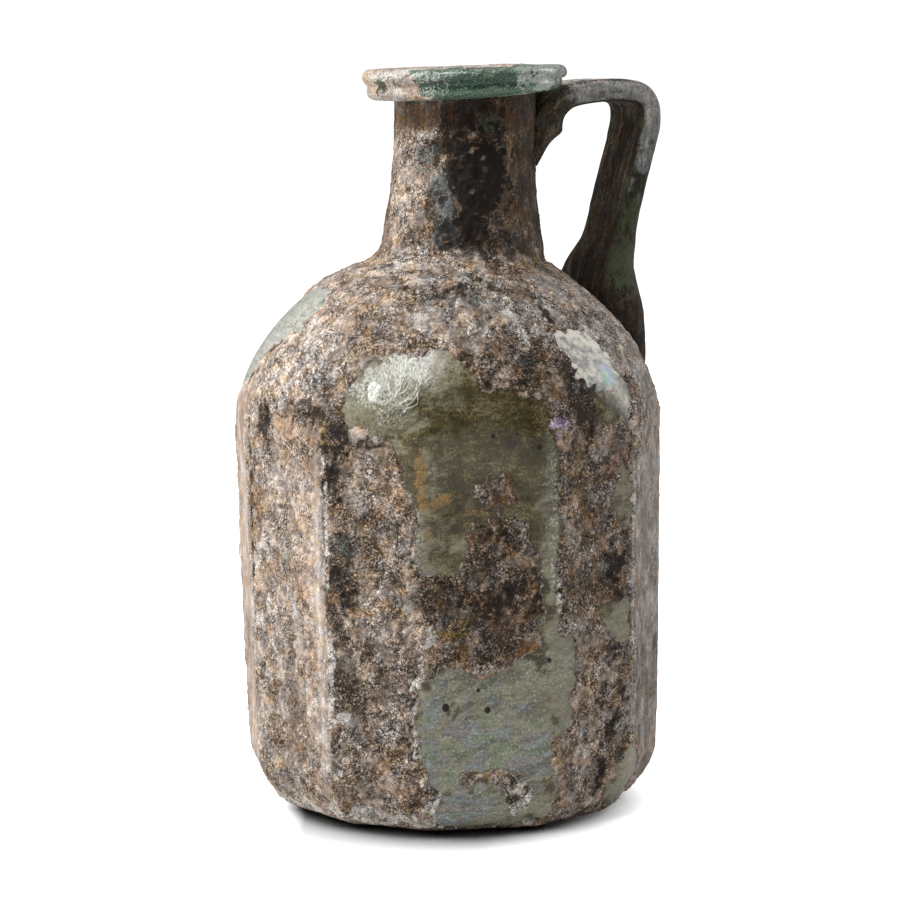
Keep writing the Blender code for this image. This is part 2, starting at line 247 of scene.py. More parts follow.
# Stains and deposits of each kind: angle, height, half sizes across and up in mm, and strength
DEPOSITS = {
    "ash": (
        (-32, 30, 14, 30, 0.45), (-30, 70, 9, 20, 0.15), (66, 60, 20, 70, 0.8), (30, 26, 10, 30, 0.4),
        (-62, 26, 14, 26, 0.45), (0, 130, 26, 9, 0.5), (50, 124, 26, 12, 0.7), (-52, 118, 12, 9, 0.5),
        (-5, 56, 12, 8, 0.4), (-20, 156, 5, 20, 0.6), (-90, 60, 10, 70, 0.2),
    ),
    "dark": (
        (-67.5, 100, 3.2, 4.8, 1.0), (-41.5, 99, 3.6, 6, 0.9), (-42, 89, 2.6, 5, 0.9),
        (-50, 106, 9, 3.2, 0.6), (-41, 64, 3, 3, 0.6), (-38, 59, 3, 3, 0.6), (-31, 98, 5, 1.2, 0.7),
        (40, 67, 3, 5, 0.8), (42, 56, 2.5, 5, 0.6), (39, 43, 3.5, 4, 0.7), (35, 34, 2.5, 4, 0.5),
        (41, 31, 3, 5, 0.7), (39, 22, 2, 5, 0.7), (36, 12, 1.2, 6, 0.8), (-2, 76, 3, 1.3, 0.8),
        (5, 76, 3, 1.3, 0.8), (-10, 61, 3.5, 3.5, 0.8), (6, 59, 8, 4, 0.5), (-75, 80, 0.7, 18, 0.8),
        (2, 163, 8, 12, 1.9), (-3, 153, 6, 7, 1.4), (-14, 168, 6, 6, 1.1), (-24, 147, 3, 3, 0.8),
        (-5, 134, 9, 2, 0.6), (27, 129, 1.5, 2.5, 0.8), (-5, 118.6, 6, 0.9, 0.8), (5, 112, 9, 1.5, 0.7),
        (30, 105, 5, 8, 0.5),
    ),
    # The thin pale lines on the ridges at -43.6, -43.4, 19 and 47.5 degrees are partly lime and partly
    # painted highlights along the ridges
    "pale": (
        (-52, 116, 6, 4.5, 0.45), (-16, 50, 1.6, 2.6, 1.0), (-19.5, 38.5, 1.6, 2, 1.0),
        (-41, 29.5, 1.8, 0.8, 1.0), (-20, 29, 0.5, 9, 0.9), (-16, 8, 2.6, 3.4, 0.8), (8, 8, 4, 3.4, 0.9),
        (-7, 15, 4, 1.6, 0.6), (-12, 3.6, 2, 0.9, 0.9), (13.5, 127, 1.6, 5, 0.9),
        (-43.6, 76, 0.5, 14, 0.9), (-43.4, 42, 0.6, 12, 0.9), (-60, 3.5, 60, 2.6, 0.6),
        (60, 3.5, 60, 2.6, 0.4), (-46, 140, 3.4, 1.6, 0.7), (35, 121, 6, 3, 0.7),
        (-56, 188.4, 7, 1.2, 1.1), (-42, 104, 0.6, 1, 0.5), (19, 64, 0.6, 8, 0.6),
        (47.5, 60, 0.7, 22, 0.5),
    ),
    "rust": (
        (-4, 74.5, 4, 2.2, 0.8), (3, 54, 9, 5, 0.35), (10, 47.5, 3, 2.5, 0.7), (39, 31, 3.5, 3, 0.8),
        (41, 60, 3, 4, 0.8), (37, 90, 3, 2.5, 0.5), (42, 91.5, 3, 3, 0.8), (-20, 27, 2, 4, 0.6),
        (-42, 185.5, 4, 2.4, 0.8), (5, 87, 4, 4.5, 0.6), (30, 176, 20, 4, 0.5), (-60, 176, 20, 4, 0.4),
    ),
    "ochre": (
        (-12, 51.5, 4.5, 1.0, 1.0), (-8, 54, 2, 1.6, 0.7), (-44, 100, 0.9, 3.6, 1.0),
        (-39, 119, 2, 2, 0.5),
    ),
    "blue": (
        (-38, 73, 2.2, 3, 0.8), (-23, 60, 3, 2, 0.6), (-61, 68, 1.3, 4, 0.8), (-51, 111, 3, 3, 0.7),
        (-40, 166, 3.6, 3, 1.0), (-31, 160, 3, 3.4, 1.0), (-23, 154, 2.6, 4, 1.1),
        (-27, 147.5, 2.8, 3, 1.0), (-68, 161, 1.4, 1.2, 0.8), (1, 132, 3, 2.4, 0.7), (44, 133, 3, 3, 0.4),
        (-38, 30, 3, 14, 0.35), (-45, 60, 1.2, 20, 0.5), (19, 97, 1.4, 3, 0.5),
    ),
    "lilac": ((19.2, 102.8, 2.0, 1.7, 1.4), (19, 99.5, 1.6, 2.4, 0.5), (30, 121, 2, 3, 0.6)),
    "peach": (
        (-59, 100, 5.5, 5.5, 1.0), (-90, 70, 18, 60, 0.3), (-60, 25, 10, 12, 0.35), (-52, 60, 3, 26, 0.5),
        (-25, 86, 5, 8, 0.4), (-60, 128, 20, 8, 0.45),
    ),
    "glassy": (
        (10, 174.5, 3, 3.2, 1.2), (-67, 184.5, 1.6, 1.8, 1.1), (-27, 134, 2.4, 1.6, 0.6),
        (-44, 48, 1.5, 6, 0.4),
    ),
}

# Where the crust is drawn out in upright fibres
DRAWN = (
    (-92, 60, 14.5, 80, 1.0), (-60, 55, 12, 50, 0.25), (-47, 52, 2.2, 46, 0.95), (68, 55, 18, 60, 0.9),
    (50, 160, 12, 24, 0.8), (-20, 178, 60, 5, 0.7),
)

# Milky film, brown stains, grey streaks, ochre, frost and iridescence on the bare glass, in the same form
# Along the ridges, on the window's upper left and on the left shoulder the film is partly painted sheen and
# the frost partly painted glints, where the light catches the glass
FILMS_AND_SHEEN = (
    (-30, 108, 14, 14, 0.7), (-18, 112, 12, 8, 0.5), (-17, 70, 2.2, 9, 0.7), (18.3, 90, 1.5, 9, 0.45),
    (18, 74, 1.7, 6, 0.55), (18, 64, 1.8, 4, 0.6), (17.2, 82, 2.4, 22, 0.75), (19, 48, 5, 9, 0.8),
    (0, 24, 22, 20, 1.2), (22, 30, 6, 24, 1.0), (20, 45, 6, 8, 1.1), (-15, 84, 4, 22, 0.4),
    (-5, 74, 10, 6, 0.5), (-17, 33, 3, 8, 0.6), (-88, 120, 34, 22, 1.2), (44, 50, 6, 8, 0.9),
    (45, 82, 5, 12, 0.6), (52, 12, 12, 12, 0.8), (41, 106, 8, 6, 0.35), (0, 6, 22, 7, 1.15),
    (0, 38, 24, 8, 0.8),
)
STAINS = (
    (2, 104, 22, 9, 0.5), (2, 82, 12, 6, 0.6), (-8, 91, 9, 4, 0.5), (8, 97, 8, 4, 0.4),
    (10, 107, 9, 3, 0.7), (-10, 78, 8, 5, 0.4), (13, 90, 5, 16, 0.75), (0, 70, 40, 40, 0.15),
    (2, 40, 12, 2, 0.5), (5, 12, 12, 5, 0.5), (-9, 30, 7, 6, 0.3), (8, 33, 9, 4, 0.35),
    (-2, 22, 8, 4, 0.3), (12, 22, 5, 7, 0.3),
)
SLATE = (
    (-12, 82.6, 2, 0.5, 0.6), (-8.5, 84.3, 2, 0.5, 0.8), (-5, 86.2, 1.8, 0.6, 0.9),
    (-2.4, 88.4, 1.8, 0.6, 0.9), (1.2, 91.4, 1.8, 0.6, 0.8), (4.6, 93.4, 1.8, 0.6, 0.7),
    (9, 95.6, 1.6, 0.5, 0.6), (11, 86.5, 2, 0.8, 0.7), (-4, 101, 1.6, 0.9, 0.8), (1, 103, 2.2, 0.5, 0.7),
    (6, 104.6, 2, 0.4, 0.5), (-12, 87.2, 1.4, 0.8, 0.6),
)
GLASS_OCHRE = (
    (-17.5, 90, 1.4, 6, 1.0), (-16.5, 83.5, 1.6, 1.6, 0.9), (-13.5, 83.6, 2, 1.0, 0.9),
    (-10.5, 85, 2, 0.9, 0.8), (-16, 76, 1.4, 2, 0.6), (-2, 81, 6, 1.4, 0.4), (14, 104, 2, 3, 0.3),
)
FROST_AND_GLINTS = (
    (-30, 112, 6, 6, 0.5), (-30.5, 111.5, 1.6, 1.6, 1.3), (-24, 116, 8, 4, 0.5), (-26, 110, 6, 6, 0.3),
    (-19, 74, 1.0, 10, 0.6), (18, 89, 1.4, 7, 0.25), (17.8, 77, 1.2, 5, 0.3), (18, 66, 1.4, 5, 0.3),
    (19.4, 84, 0.5, 2, 0.6), (0, 22, 22, 18, 0.14), (2, 42, 22, 8, 0.16), (0, 6, 20, 6, 0.16),
    (44, 187, 8, 6, 0.8), (-34, 187, 6, 2, 0.6), (-38, 183, 5, 3, 0.5), (-88, 120, 30, 20, 0.95),
)
IRIDESCENCE = (
    (0, 22, 20, 14, 0.85), (8, 22, 8, 6, 1.0), (-8, 8, 9, 5, 0.9), (-17, 24, 3, 14, 0.7),
    (-85, 120, 14, 14, 0.5),
)

# Loops of white film that dried on the window: angle and height along each. Then how wide each strand is in
# mm, and how many strands run side by side.
DRIED_LOOPS = (
    ((-31, 109.5), (-28, 108), (-25.5, 108.6), (-24, 111), (-22.5, 114.5), (-21, 117.5), (-22.8, 118.6)),
    (
        (-29.2, 111), (-28.6, 113.5), (-29.6, 116), (-28, 118.6), (-24.5, 118.8), (-22.6, 116),
        (-24.6, 112), (-27, 110),
    ),
    ((-25.2, 108.6), (-24.8, 112), (-25.6, 115.6), (-28.2, 118.6)),
    ((-25.4, 108.5), (-23.8, 111.6), (-23.6, 115), (-25.4, 118.4)),
    ((-25.6, 108.4), (-22.8, 110.6), (-20.6, 114), (-19.6, 117.4)),
    ((-26.2, 108.3), (-26.6, 111.4), (-28.2, 114.4), (-29.4, 117.4)),
    ((-24.6, 107.8), (-21.2, 108.8), (-18.8, 111.4), (-17.6, 114.4)),
    ((-21.6, 106.4), (-19.6, 108.2), (-18, 110.8)),
    ((-33.6, 108.4), (-34.2, 111), (-33.4, 113.4)),
)
DRIED_WIDTH = 0.17
DRIED_STRANDS = 3

# The blob at the loops' end: angle, height and half sizes in mm. Then each ring's share of them and its rise.
DRIED_BLOB = (-30.8, 110.6, 1.8, 2.4)
BLOB_RINGS = ((1, -0.03), (0.9, 0.08), (0.6, 0.14), (0.05, 0.12))

# Round pits in the glass with dark filling: angle, height and radius in mm
PITS = (
    (14, 97, 0.75), (-12, 33, 1.0), (-0.4, 32, 0.8), (16.5, 44, 0.6), (-3, 37, 0.5), (2, 41.5, 0.3),
    (-3, 105.6, 0.3), (0, 104.8, 0.25), (3, 103.4, 0.35), (5, 101.8, 0.3), (8, 100.4, 0.3),
    (1.5, 100, 0.6), (29, 187.2, 0.4), (31, 186.4, 0.4), (33, 187, 0.3), (-5, 128, 0.5),
)
PIT_RINGS = ((1.0, -0.1), (0.92, 0.06), (0.6, 0.12), (0.1, 0.14))

# The pearly flake: its lower outline, and the middle of its mother-of-pearl
FLAKE_LOWER = ((25, 125), (50, 125), (48, 112), (40, 109), (25, 108))
PEARL_MIDDLE = (41, 113)

# The streaks in the body's glass: how they slant, and how they stand to the front facet
STREAK_SLANT = math.radians(-27)
STREAK_TURN = math.radians(90 + FRONT_FACET_TURN)

# The studio, in metres: half the floor's side and its drop under the jug, the way in which the shadow is
# drawn out and its reach, where the camera aims, and how far the lights stand and how high they aim
FLOOR_HALF = 20
FLOOR_DROP = 0.1 * MM
SHADOW_TURN = math.radians(-25)
SHADOW_REACH = 0.034
AIM_HEIGHT = 90.5 * MM
AIM_LEFT = 0.5 * MM
LIGHT_REACH = 1.2
LIGHT_AIM = 0.1


def colour(code):
    """An sRGB hex colour as the linear values that shaders take."""
    values = [int(code[i : i + 2], 16) / 255 for i in (1, 3, 5)]
    return (*(v / 12.92 if v <= 0.04045 else ((v + 0.055) / 1.055) ** 2.4 for v in values), 1.0)


# ---------------------------------------------------------------- settings


def number(name, description, default, **kind):
    """A size, an angle or a strength that a user can change."""
    return bpy.props.FloatProperty(name=name, description=description, default=default, **kind)


def tint(name, description, code):
    """A colour that a user can change."""
    shown = {"size": 4, "subtype": "COLOR"}
    return bpy.props.FloatVectorProperty(name=name, description=description, default=colour(code), **shown)


class JugSizes(bpy.types.PropertyGroup):
    """Sizes of the crust and of the meshes that carry its relief."""

    crust: number("Crust thickness", "Usual thickness of the burial crust", 0.45 * MM, unit="LENGTH")
    relief: number("Crust relief", "Height of the crust's lumps and layers", 0.34 * MM, unit="LENGTH")
    fine: number("Fine spacing", "Distance between the crust's points in front", 0.45 * MM, unit="LENGTH")
    coarse: number("Coarse spacing", "Distance between the crust's points behind", 0.8 * MM, unit="LENGTH")


class JugColours(bpy.types.PropertyGroup):
    """Colours of the glass and of what lies on it."""

    teal: tint("Rim glass", "Colour of the thick glass of the rim", "#64806c")
    deep: tint("Deep glass", "Colour of the rim's glass where it is thickest", "#1b4833")
    # The film's colour also paints sheen on the glass, and the frost's colour also paints glints
    film_and_sheen: tint("Milky film", "Colour of the leached film on the bare glass", "#b0ac94")
    frost_and_glints: tint("Frost", "Colour of the white flecks on the bare glass", "#e6e8e0")
    peach: tint("Peach crust", "Colour of the crust where iron stains it lightly", "#cfab8c")
    dark: tint("Dark crust", "Colour of the crust's blackened deposits", "#150d08")
    # The pale colour also paints the highlights along the ridges
    pale: tint("Pale crust", "Colour of the lime along the crust's edges", "#ddd8d0")


class StudioSettings(bpy.types.PropertyGroup):
    """The camera and the light."""

    camera_turn: number("Camera turn", "Angle of the camera from +X", math.radians(-115), subtype="ANGLE")
    camera_distance: number("Camera distance", "Distance of the camera from the jug", 0.85, unit="LENGTH")
    camera_height: number("Camera height", "Height of the camera above the table", HEIGHT, unit="LENGTH")
    lens: number("Lens", "Focal length on a 36 mm sensor", 132.2, min=1.0)
    room: number("Room light", "Strength of the white room all round", 0.2, min=0.0)
    left: number("Left softbox", "Power of the large soft light at the left, in watts", 15.0, min=0.0)
    top: number("Top softbox", "Power of the light above the front left, in watts", 10.0, min=0.0)
    right: number("Right strip", "Power of the narrow light behind the right, in watts", 5.5, min=0.0)


# ---------------------------------------------------------------- noise and masks


def ease(low, high, value):
    """0 below low, 1 above high and a smooth rise between."""
    share = np.clip((value - low) / (high - low), 0, 1)
    return share * share * (3 - 2 * share)


def scatter(cells, seed):
    """A repeatable random number from -1 to 1 for each whole-number place."""
    key = cells[..., 0] * 73856093 ^ cells[..., 1] * 19349663 ^ cells[..., 2] * 83492791 ^ seed * 26544357
    key = (key ^ key >> 13) * 1274126177
    return ((key ^ key >> 16) & 0xFFFF) / 32767.5 - 1


# How strongly each finer octave of the noise counts, and how much the sum is raised
NOISE_FALL = 0.6
NOISE_GAIN = 1.3


def noise(points, size, seed, octaves=1):
    """Smooth noise of about -1 to 1 whose broadest lumps are size mm across, with finer ones added."""
    total, weight = 0.0, 1.0
    for octave in range(octaves):
        place = points * (2**octave / size) + 0.37 * seed
        cell = np.floor(place).astype(np.int64)
        share = place - cell
        share = share * share * (3 - 2 * share)
        value = 0.0
        for corner in itertools.product((0, 1), repeat=3):
            x, y, z = np.moveaxis(np.where(np.array(corner), share, 1 - share), -1, 0)
            value = value + scatter(cell + np.array(corner), seed + octave) * x * y * z
        total = total + weight * value
        weight *= NOISE_FALL
    return total * NOISE_GAIN


def lumps(points, size, seed):
    """Round lumps, one for each cell of size mm: 1 at a lump's middle, 0 from half a cell away."""
    place = points / size
    cell = np.floor(place).astype(np.int64)
    nearest = np.full(points.shape[:-1], 9.0)
    for corner in itertools.product((-1, 0, 1), repeat=3):
        other = cell + np.array(corner)
        jitter = np.stack([scatter(other, seed + axis) for axis in range(3)], axis=-1)
        away = place - other - 0.5 - 0.45 * jitter
        nearest = np.minimum(nearest, (away * away).sum(-1))
    return np.clip(1 - 2 * np.sqrt(nearest), 0, 1)


def inside(outline, across, up):
    """How far, in mm, each place lies inside an outline. It is negative outside."""
    corners = np.array(outline, float) * (MM_PER_DEGREE, 1)
    nearest = np.full(across.shape, 1e3)
    odd = np.zeros(across.shape, bool)
    for (x0, y0), (x1, y1) in zip(corners, np.roll(corners, -1, axis=0)):
        run, rise = x1 - x0, y1 - y0
        share = np.clip(((across - x0) * run + (up - y0) * rise) / (run * run + rise * rise), 0, 1)
        nearest = np.minimum(nearest, np.hypot(across - x0 - share * run, up - y0 - share * rise))
        if rise:
            odd ^= ((y0 > up) != (y1 > up)) & (across < x0 + (up - y0) * run / rise)
    return np.where(odd, nearest, -nearest)


def inside_any(outlines, across, up):
    """How far, in mm, each place lies inside any of some outlines."""
    return np.max([inside(outline, across, up) for outline in outlines.values()], axis=0)


def spots(table, angle, height, ragged):
    """The strongest of a table's soft-edged spots at each place, from 0 to 1."""
    total = np.zeros(angle.shape)
    for turn, level, across, up, strength in table:
        scale = MM_PER_DEGREE if level < NECK_ROOT else NECK_MM_PER_DEGREE
        away = np.hypot((angle - turn) * scale / across, (height - level) / up)
        total = np.maximum(total, strength * ease(-0.35, 0.35, 1 - away + ragged))
    return total


# ---------------------------------------------------------------- shape of the vessel


def heel_line():
    """From the edge of the underside out and up to the wall, as radius and height."""
    turn = np.linspace(0, math.pi / 2, 40)
    radius = FOOT_RADIUS + (HEEL_RADIUS - FOOT_RADIUS) * np.sin(turn) ** HEEL_POWER
    return np.stack([radius, HEEL_TOP * (1 - np.cos(turn) ** HEEL_POWER)], axis=1)


def wall_line():
    """Up the faceted wall, which widens slightly."""
    share = np.linspace(0, 1, 40)[1:-1]
    radius = HEEL_RADIUS + (BODY_RADIUS - HEEL_RADIUS) * np.sin(math.pi / 2 * share)
    return np.stack([radius, HEEL_TOP + (SHOULDER_START - HEEL_TOP) * share], axis=1)


def shoulder_line():
    """The round shoulder, a superellipse that ends where the neck begins."""
    rise = (NECK_ROOT - SHOULDER_START) * np.sin(np.linspace(0, math.pi / 2, 60))
    radius = BODY_RADIUS * np.sqrt(1 - (rise / SHOULDER_RISE) ** SHOULDER_POWER)
    return np.stack([radius, SHOULDER_START + rise], axis=1)


def body_line():
    """Up the wall and over the shoulder."""
    return np.concatenate([wall_line(), shoulder_line()])


def neck_line():
    """In from the shoulder and up the neck to just under the rim."""
    z = np.linspace(NECK_ROOT, RIM_UNDERSIDE - 0.3, 80)[1:]
    radius = NECK_RADIUS + NECK_FLARE * (1 - ease(NECK_ROOT, NECK_FLARE_END, z))
    return np.stack([radius + NECK_FILLET * np.exp((NECK_ROOT - z) / NECK_FILLET_REACH), z], axis=1)


def rim_line():
    """The folded collar and its lip, then in over the top."""
    low, high = RIM_UNDERSIDE + GLASS_INSET, RIM_TOP - GLASS_INSET
    steps = [(RIM_RADIUS - inset, low + share * (high - low)) for inset, share in RIM_STEPS + LIP_STEPS]
    return through(np.array(steps), 80)


def foot_line():
    """The slightly hollow underside, from its middle out to the ring that the jug stands on."""
    radius = np.linspace(0.4, FOOT_RADIUS, 24)
    return np.stack([radius, UNDERSIDE_HOLLOW * (1 - (radius / FOOT_RADIUS) ** 4)], axis=1)


def hollow_line():
    """Down the bore, out under the shoulder and down the wall to the middle of the floor."""
    bore = [(BORE_RADIUS + wider, level) for wider, level in BORE_STEPS]
    outside_line = body_line()[::-1]
    height = outside_line[:, 1]
    wall = WALL + (FACETED_WALL - WALL) * (1 - ease(FACET_FADE_START, FACET_FADE_END, height))
    lower = WALL * ease(SHOULDER_START, NECK_ROOT, height)
    side = np.stack([outside_line[:, 0] - wall, height - lower], axis=1)
    return np.concatenate([through(np.array(bore), 40), side, through(np.array(FLOOR_STEPS), 40)])


def through(points, count):
    """Points spaced evenly in parameter along a Catmull-Rom curve through the given ones."""
    padded = np.concatenate([points[:1], points, points[-1:]])
    place = np.linspace(0, len(points) - 1, count)
    start = np.minimum(place.astype(int), len(points) - 2)
    t = (place - start)[:, None]
    a, b, c, d = (padded[start + step] for step in range(4))
    bend = (2 * a - 5 * b + 4 * c - d) * t**2 + (3 * b - a - 3 * c + d) * t**3
    return 0.5 * (2 * b + (c - a) * t + bend)


def spaced(line, spacing):
    """The same line with its points spacing mm apart."""
    along = np.concatenate([[0], np.cumsum(np.hypot(*np.diff(line, axis=0).T))])
    places = np.linspace(0, along[-1], max(round(along[-1] / spacing), 2) + 1)
    return np.stack([np.interp(places, along, line[:, k]) for k in (0, 1)], axis=1)


def radius_at(line, height):
    """The radius of a line at a height."""
    return np.interp(height, line[:, 1], line[:, 0])


def pattern_angle(angle):
    """The angle at which the even pattern of facets shows what lies at an angle of the real vessel."""
    middle, slip, reach = SLIPPED_RIDGE
    return angle - slip * np.exp(-(((angle - middle) / reach) ** 2))


def facet_share(angle):
    """The radius of the faceted wall as a share of its ridges' radius, with the ridges worn round."""
    total = 0.0
    for step in RIDGE_ROUNDING:
        turned = (pattern_angle(angle) + step + FRONT_FACET_WIDTH / 2) % 360
        front = turned < FRONT_FACET_WIDTH
        width = np.radians(np.where(front, FRONT_FACET_WIDTH, FACET_WIDTH))
        share = np.where(front, turned / FRONT_FACET_WIDTH, (turned - FRONT_FACET_WIDTH) / FACET_WIDTH % 1)
        flat = np.cos(width / 2) / np.cos((share - 0.5) * width)
        total = total + flat - FACET_HOLLOW / BODY_RADIUS * np.sin(math.pi * share) ** 2
    return total / len(RIDGE_ROUNDING)


def lean(z):
    """How far the vessel's axis stands towards the handle at a height."""
    body = BODY_LEAN * ease(0, SHOULDER_START, z)
    neck = (NECK_LEAN - BODY_LEAN) * ease(NECK_ROOT - 4, NECK_BASE - 2, z)
    return body + neck + (RIM_LEAN - NECK_LEAN) * ease(NECK_BASE, RIM_UNDERSIDE, z)


def outside(angle, radius, z):
    """Points of the glass's outside, in mm, at an angle and along the outside's line."""
    turn = np.radians(angle + FRONT_FACET_TURN)
    radius = np.maximum(radius - GLASS_INSET, 0.3)
    strength = 1 - ease(FACET_FADE_START, FACET_FADE_END, z)
    out = radius * (1 + strength * (facet_share(angle) - 1))
    out = out * (1 + FOOT_OVAL * (1 - ease(0, HEEL_TOP, z)) * np.cos(2 * np.radians(angle)))
    x, y = out * np.cos(turn), out * np.sin(turn)
    towards = x / RIM_RADIUS
    thinner = RIM_THINNING * (RIM_TOP - z) * (0.5 + 0.5 * towards)
    droop = RIM_DROOP * ease(0.78, 1.0, towards) * ease(RIM_UNDERSIDE, RIM_TOP, z)
    shift = (thinner - droop + x * RIM_TILT) * ease(RIM_UNDERSIDE - 3, RIM_UNDERSIDE, z)
    return np.stack([x + lean(z), y + 0 * x, z + shift + 0 * x], axis=-1)


def grid_on(line, angles):
    """Angle, line height and outside point at each crossing of the line's points and the angles."""
    angle, z = np.broadcast_arrays(angles[None, :], line[:, 1][:, None])
    return angle, z, outside(angle, line[:, 0][:, None], z)


def grid_in_hollow(spacing, angles, inset=0.0):
    """Angle, height and point at each crossing of the hollow's line and the angles, set in by some mm."""
    line = spaced(hollow_line(), spacing)
    angle, level = np.broadcast_arrays(angles[None, :], line[:, 1:])
    turn = np.radians(angles + FRONT_FACET_TURN)[None, :]
    radius = line[:, :1] - inset
    x, y = radius * np.cos(turn), radius * np.sin(turn)
    tilt = ease(RIM_UNDERSIDE - 6, RIM_TOP - 2.5, level)
    lift = inset * (1 - ease(BASE_THICKNESS + 0.5, HEEL_TOP, level))
    return angle, level, np.stack([x + lean(level), y, level + x * RIM_TILT * tilt + lift], axis=-1)


def normals_of(points):
    """Outward unit normals of a grid whose columns close on themselves."""
    around = np.roll(points, -1, axis=1) - np.roll(points, 1, axis=1)
    up = np.gradient(points, axis=0)
    normal = np.cross(around, up)
    return normal / np.maximum(np.linalg.norm(normal, axis=-1, keepdims=True), 1e-9)


def all_round(step):
    """The angles of the columns of a grid that goes evenly all round, a step in degrees apart."""
    return np.arange(-180, 180, step)


def angles_round(fine, coarse):
    """Angles of the columns, close together on the front and wider apart on the back."""
    angles = [-180.0]
    while angles[-1] < 180:
        back = float(ease(96, 112, abs(angles[-1] + 8)))
        angles.append(angles[-1] + (fine + (coarse - fine) * back) / MM_PER_DEGREE)
    angles = np.array(angles[:-1])
    return -180 + (angles + 180) * 360 / (360 + angles[-1] - 180 + 1e-9) * (1 - 1 / len(angles) ** 2)


# ---------------------------------------------------------------- meshes


def quads_of(rows, columns, wrap=True):
    """Corner numbers of a grid's quads, row by row. A wrapped grid's last column joins its first."""
    row = np.arange(rows - 1)[:, None] * columns
    column = np.arange(columns if wrap else columns - 1)[None, :]
    after = (column + 1) % columns
    corners = [row + column, row + after, row + columns + after, row + columns + column]
    return np.stack(corners, axis=-1).reshape(-1, 4)


def end_caps(rows, columns):
    """Corner numbers of the two faces that close a wrapped grid at its first row and its last."""
    return np.arange(columns)[::-1], np.arange(columns) + (rows - 1) * columns


def joined(strips, domes):
    """Points, quads and caps of one mesh that holds open strips, and domes closed at their last ring."""
    points, quads, caps, start = [], [], [], 0
    for grid, wrap in [(strip, False) for strip in strips] + [(dome, True) for dome in domes]:
        rows, columns = grid.shape[:2]
        points.append(grid.reshape(-1, 3))
        quads.append(quads_of(rows, columns, wrap) + start)
        if wrap:
            caps.append(end_caps(rows, columns)[1] + start)
        start += rows * columns
    return np.concatenate(points), np.concatenate(quads), caps


def mesh_piece(name, points, faces, material, fields=None, caps=()):
    """A smooth piece fixed to the jug's body: points in mm, quads, numbers at the points and end caps."""
    used, faces = np.unique(faces, return_inverse=True)
    faces = faces.reshape(-1, 4)
    corners = [faces.ravel()] + [np.searchsorted(used, cap) for cap in caps]
    sizes = np.array([4] * len(faces) + [len(cap) for cap in caps])
    mesh = bpy.data.meshes.new(name)
    mesh.vertices.add(len(used))
    mesh.vertices.foreach_set("co", (points.reshape(-1, 3)[used] * MM).astype(np.float32).ravel())
    mesh.loops.add(int(sizes.sum()))
    mesh.loops.foreach_set("vertex_index", np.concatenate(corners).astype(np.int32))
    mesh.polygons.add(len(sizes))
    mesh.polygons.foreach_set("loop_start", np.concatenate([[0], np.cumsum(sizes)[:-1]]).astype(np.int32))
    for field, values in (fields or {}).items():
        attribute = mesh.attributes.new(field, "FLOAT", "POINT")
        attribute.data.foreach_set("value", values.ravel()[used].astype(np.float32))
    mesh.update(calc_edges=True)
    mesh.validate()
    mesh.shade_smooth()
    mesh.materials.append(material)
    piece = bpy.data.objects.new(name, mesh)
    bpy.context.scene.collection.objects.link(piece)
    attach(piece, "root")
    return piece


def crust_piece(name, points, quads, fields, caps=()):
    """A piece of crust, with the numbers that its material reads."""
    mesh_piece(name, points, quads, burial_crust(), {mark: fields[mark] for mark in MARKS}, caps)


# ---------------------------------------------------------------- the crust


# The crust's sheet, in mm: how far it sinks under bare glass, how wide its broken edge is, how deep it has to
# lie to be left out, and its least thickness
CRUST_SINK = 0.16
CRUST_EDGE = 0.55
CRUST_HIDDEN = 0.12
CRUST_LEAST = 0.12


def tone_at(angle, bands):
    """The tone of the band that each angle lies in."""
    starts, tones = np.array(bands).T
    return tones[np.searchsorted(starts, (angle + 180) % 360 - 180, side="right") - 1]


def ridge_distance(angle):
    """How far, in mm round the body, each angle lies from the nearest ridge between two facets."""
    turned = (pattern_angle(angle) + FRONT_FACET_WIDTH / 2) % 360
    front = np.minimum(turned, FRONT_FACET_WIDTH - turned)
    turned = np.where(turned < FRONT_FACET_WIDTH, front, (turned - FRONT_FACET_WIDTH) % FACET_WIDTH)
    return np.minimum(turned, np.abs(FACET_WIDTH - turned)) * MM_PER_DEGREE


def crust_fields(place, angle, height):
    """Numbers at each point that say which layers, stains and deposits its crust shows, and its tone, which
    along the ridges also holds painted highlights.
    """
    ragged = 0.5 * noise(place, 3.0, 11, 3) + 0.35 * noise(place, 1.1, 14, 2)
    wander = pattern_angle(angle) + 0.8 * noise(place * (1, 1, 0.4), 5, 12, 2)
    body = tone_at(wander, FACET_TONES)
    shoulder = ease(FACET_FADE_START + 10, FACET_FADE_END - 4, height + 6 * ragged)
    body = body + (SHOULDER_TONE - body) * shoulder
    neck = tone_at(angle + 14 * noise(place * (1, 1, 0.5), 7, 13, 4), NECK_TONES)
    tone = body + (neck - body) * ease(NECK_ROOT - 2, NECK_BASE, height + 8 * ragged)
    for turn, level, across, up, amount in TONES:
        away = np.hypot((angle - turn) * MM_PER_DEGREE / across, (height - level) / up)
        tone = tone + amount * ease(-0.2, 0.8, 1 - away)
    fields = {kind: spots(table, angle, height, ragged) for kind, table in DEPOSITS.items()}
    fields["dark"] = fields["dark"] * (0.75 + 0.6 * noise(place, 1.8, 15, 3))
    layer = noise(place * (1, 1, 0.8), 3.6, 21, 4)
    fields["layer"] = layer
    fields["drawn"] = np.clip(spots(DRAWN, angle, height, 0.3 * ragged), 0, 1)
    # Lighter along the ridges between the facets: partly wear and partly a painted highlight where the
    # rounded ridges catch the light
    worn_and_lit_ridges = np.exp(-((ridge_distance(angle) / 1.1) ** 2))
    worn_and_lit_ridges = worn_and_lit_ridges * (1 - ease(FACET_FADE_START, FACET_FADE_END, height))
    tone = tone + 0.16 * worn_and_lit_ridges * ease(-0.5, 0.4, noise(place, 4, 16, 2))
    fields["cover"] = tone + 0.1 * layer + 0.06 * noise(place, 9, 22, 2) - 0.2 * fields["dark"]
    return fields


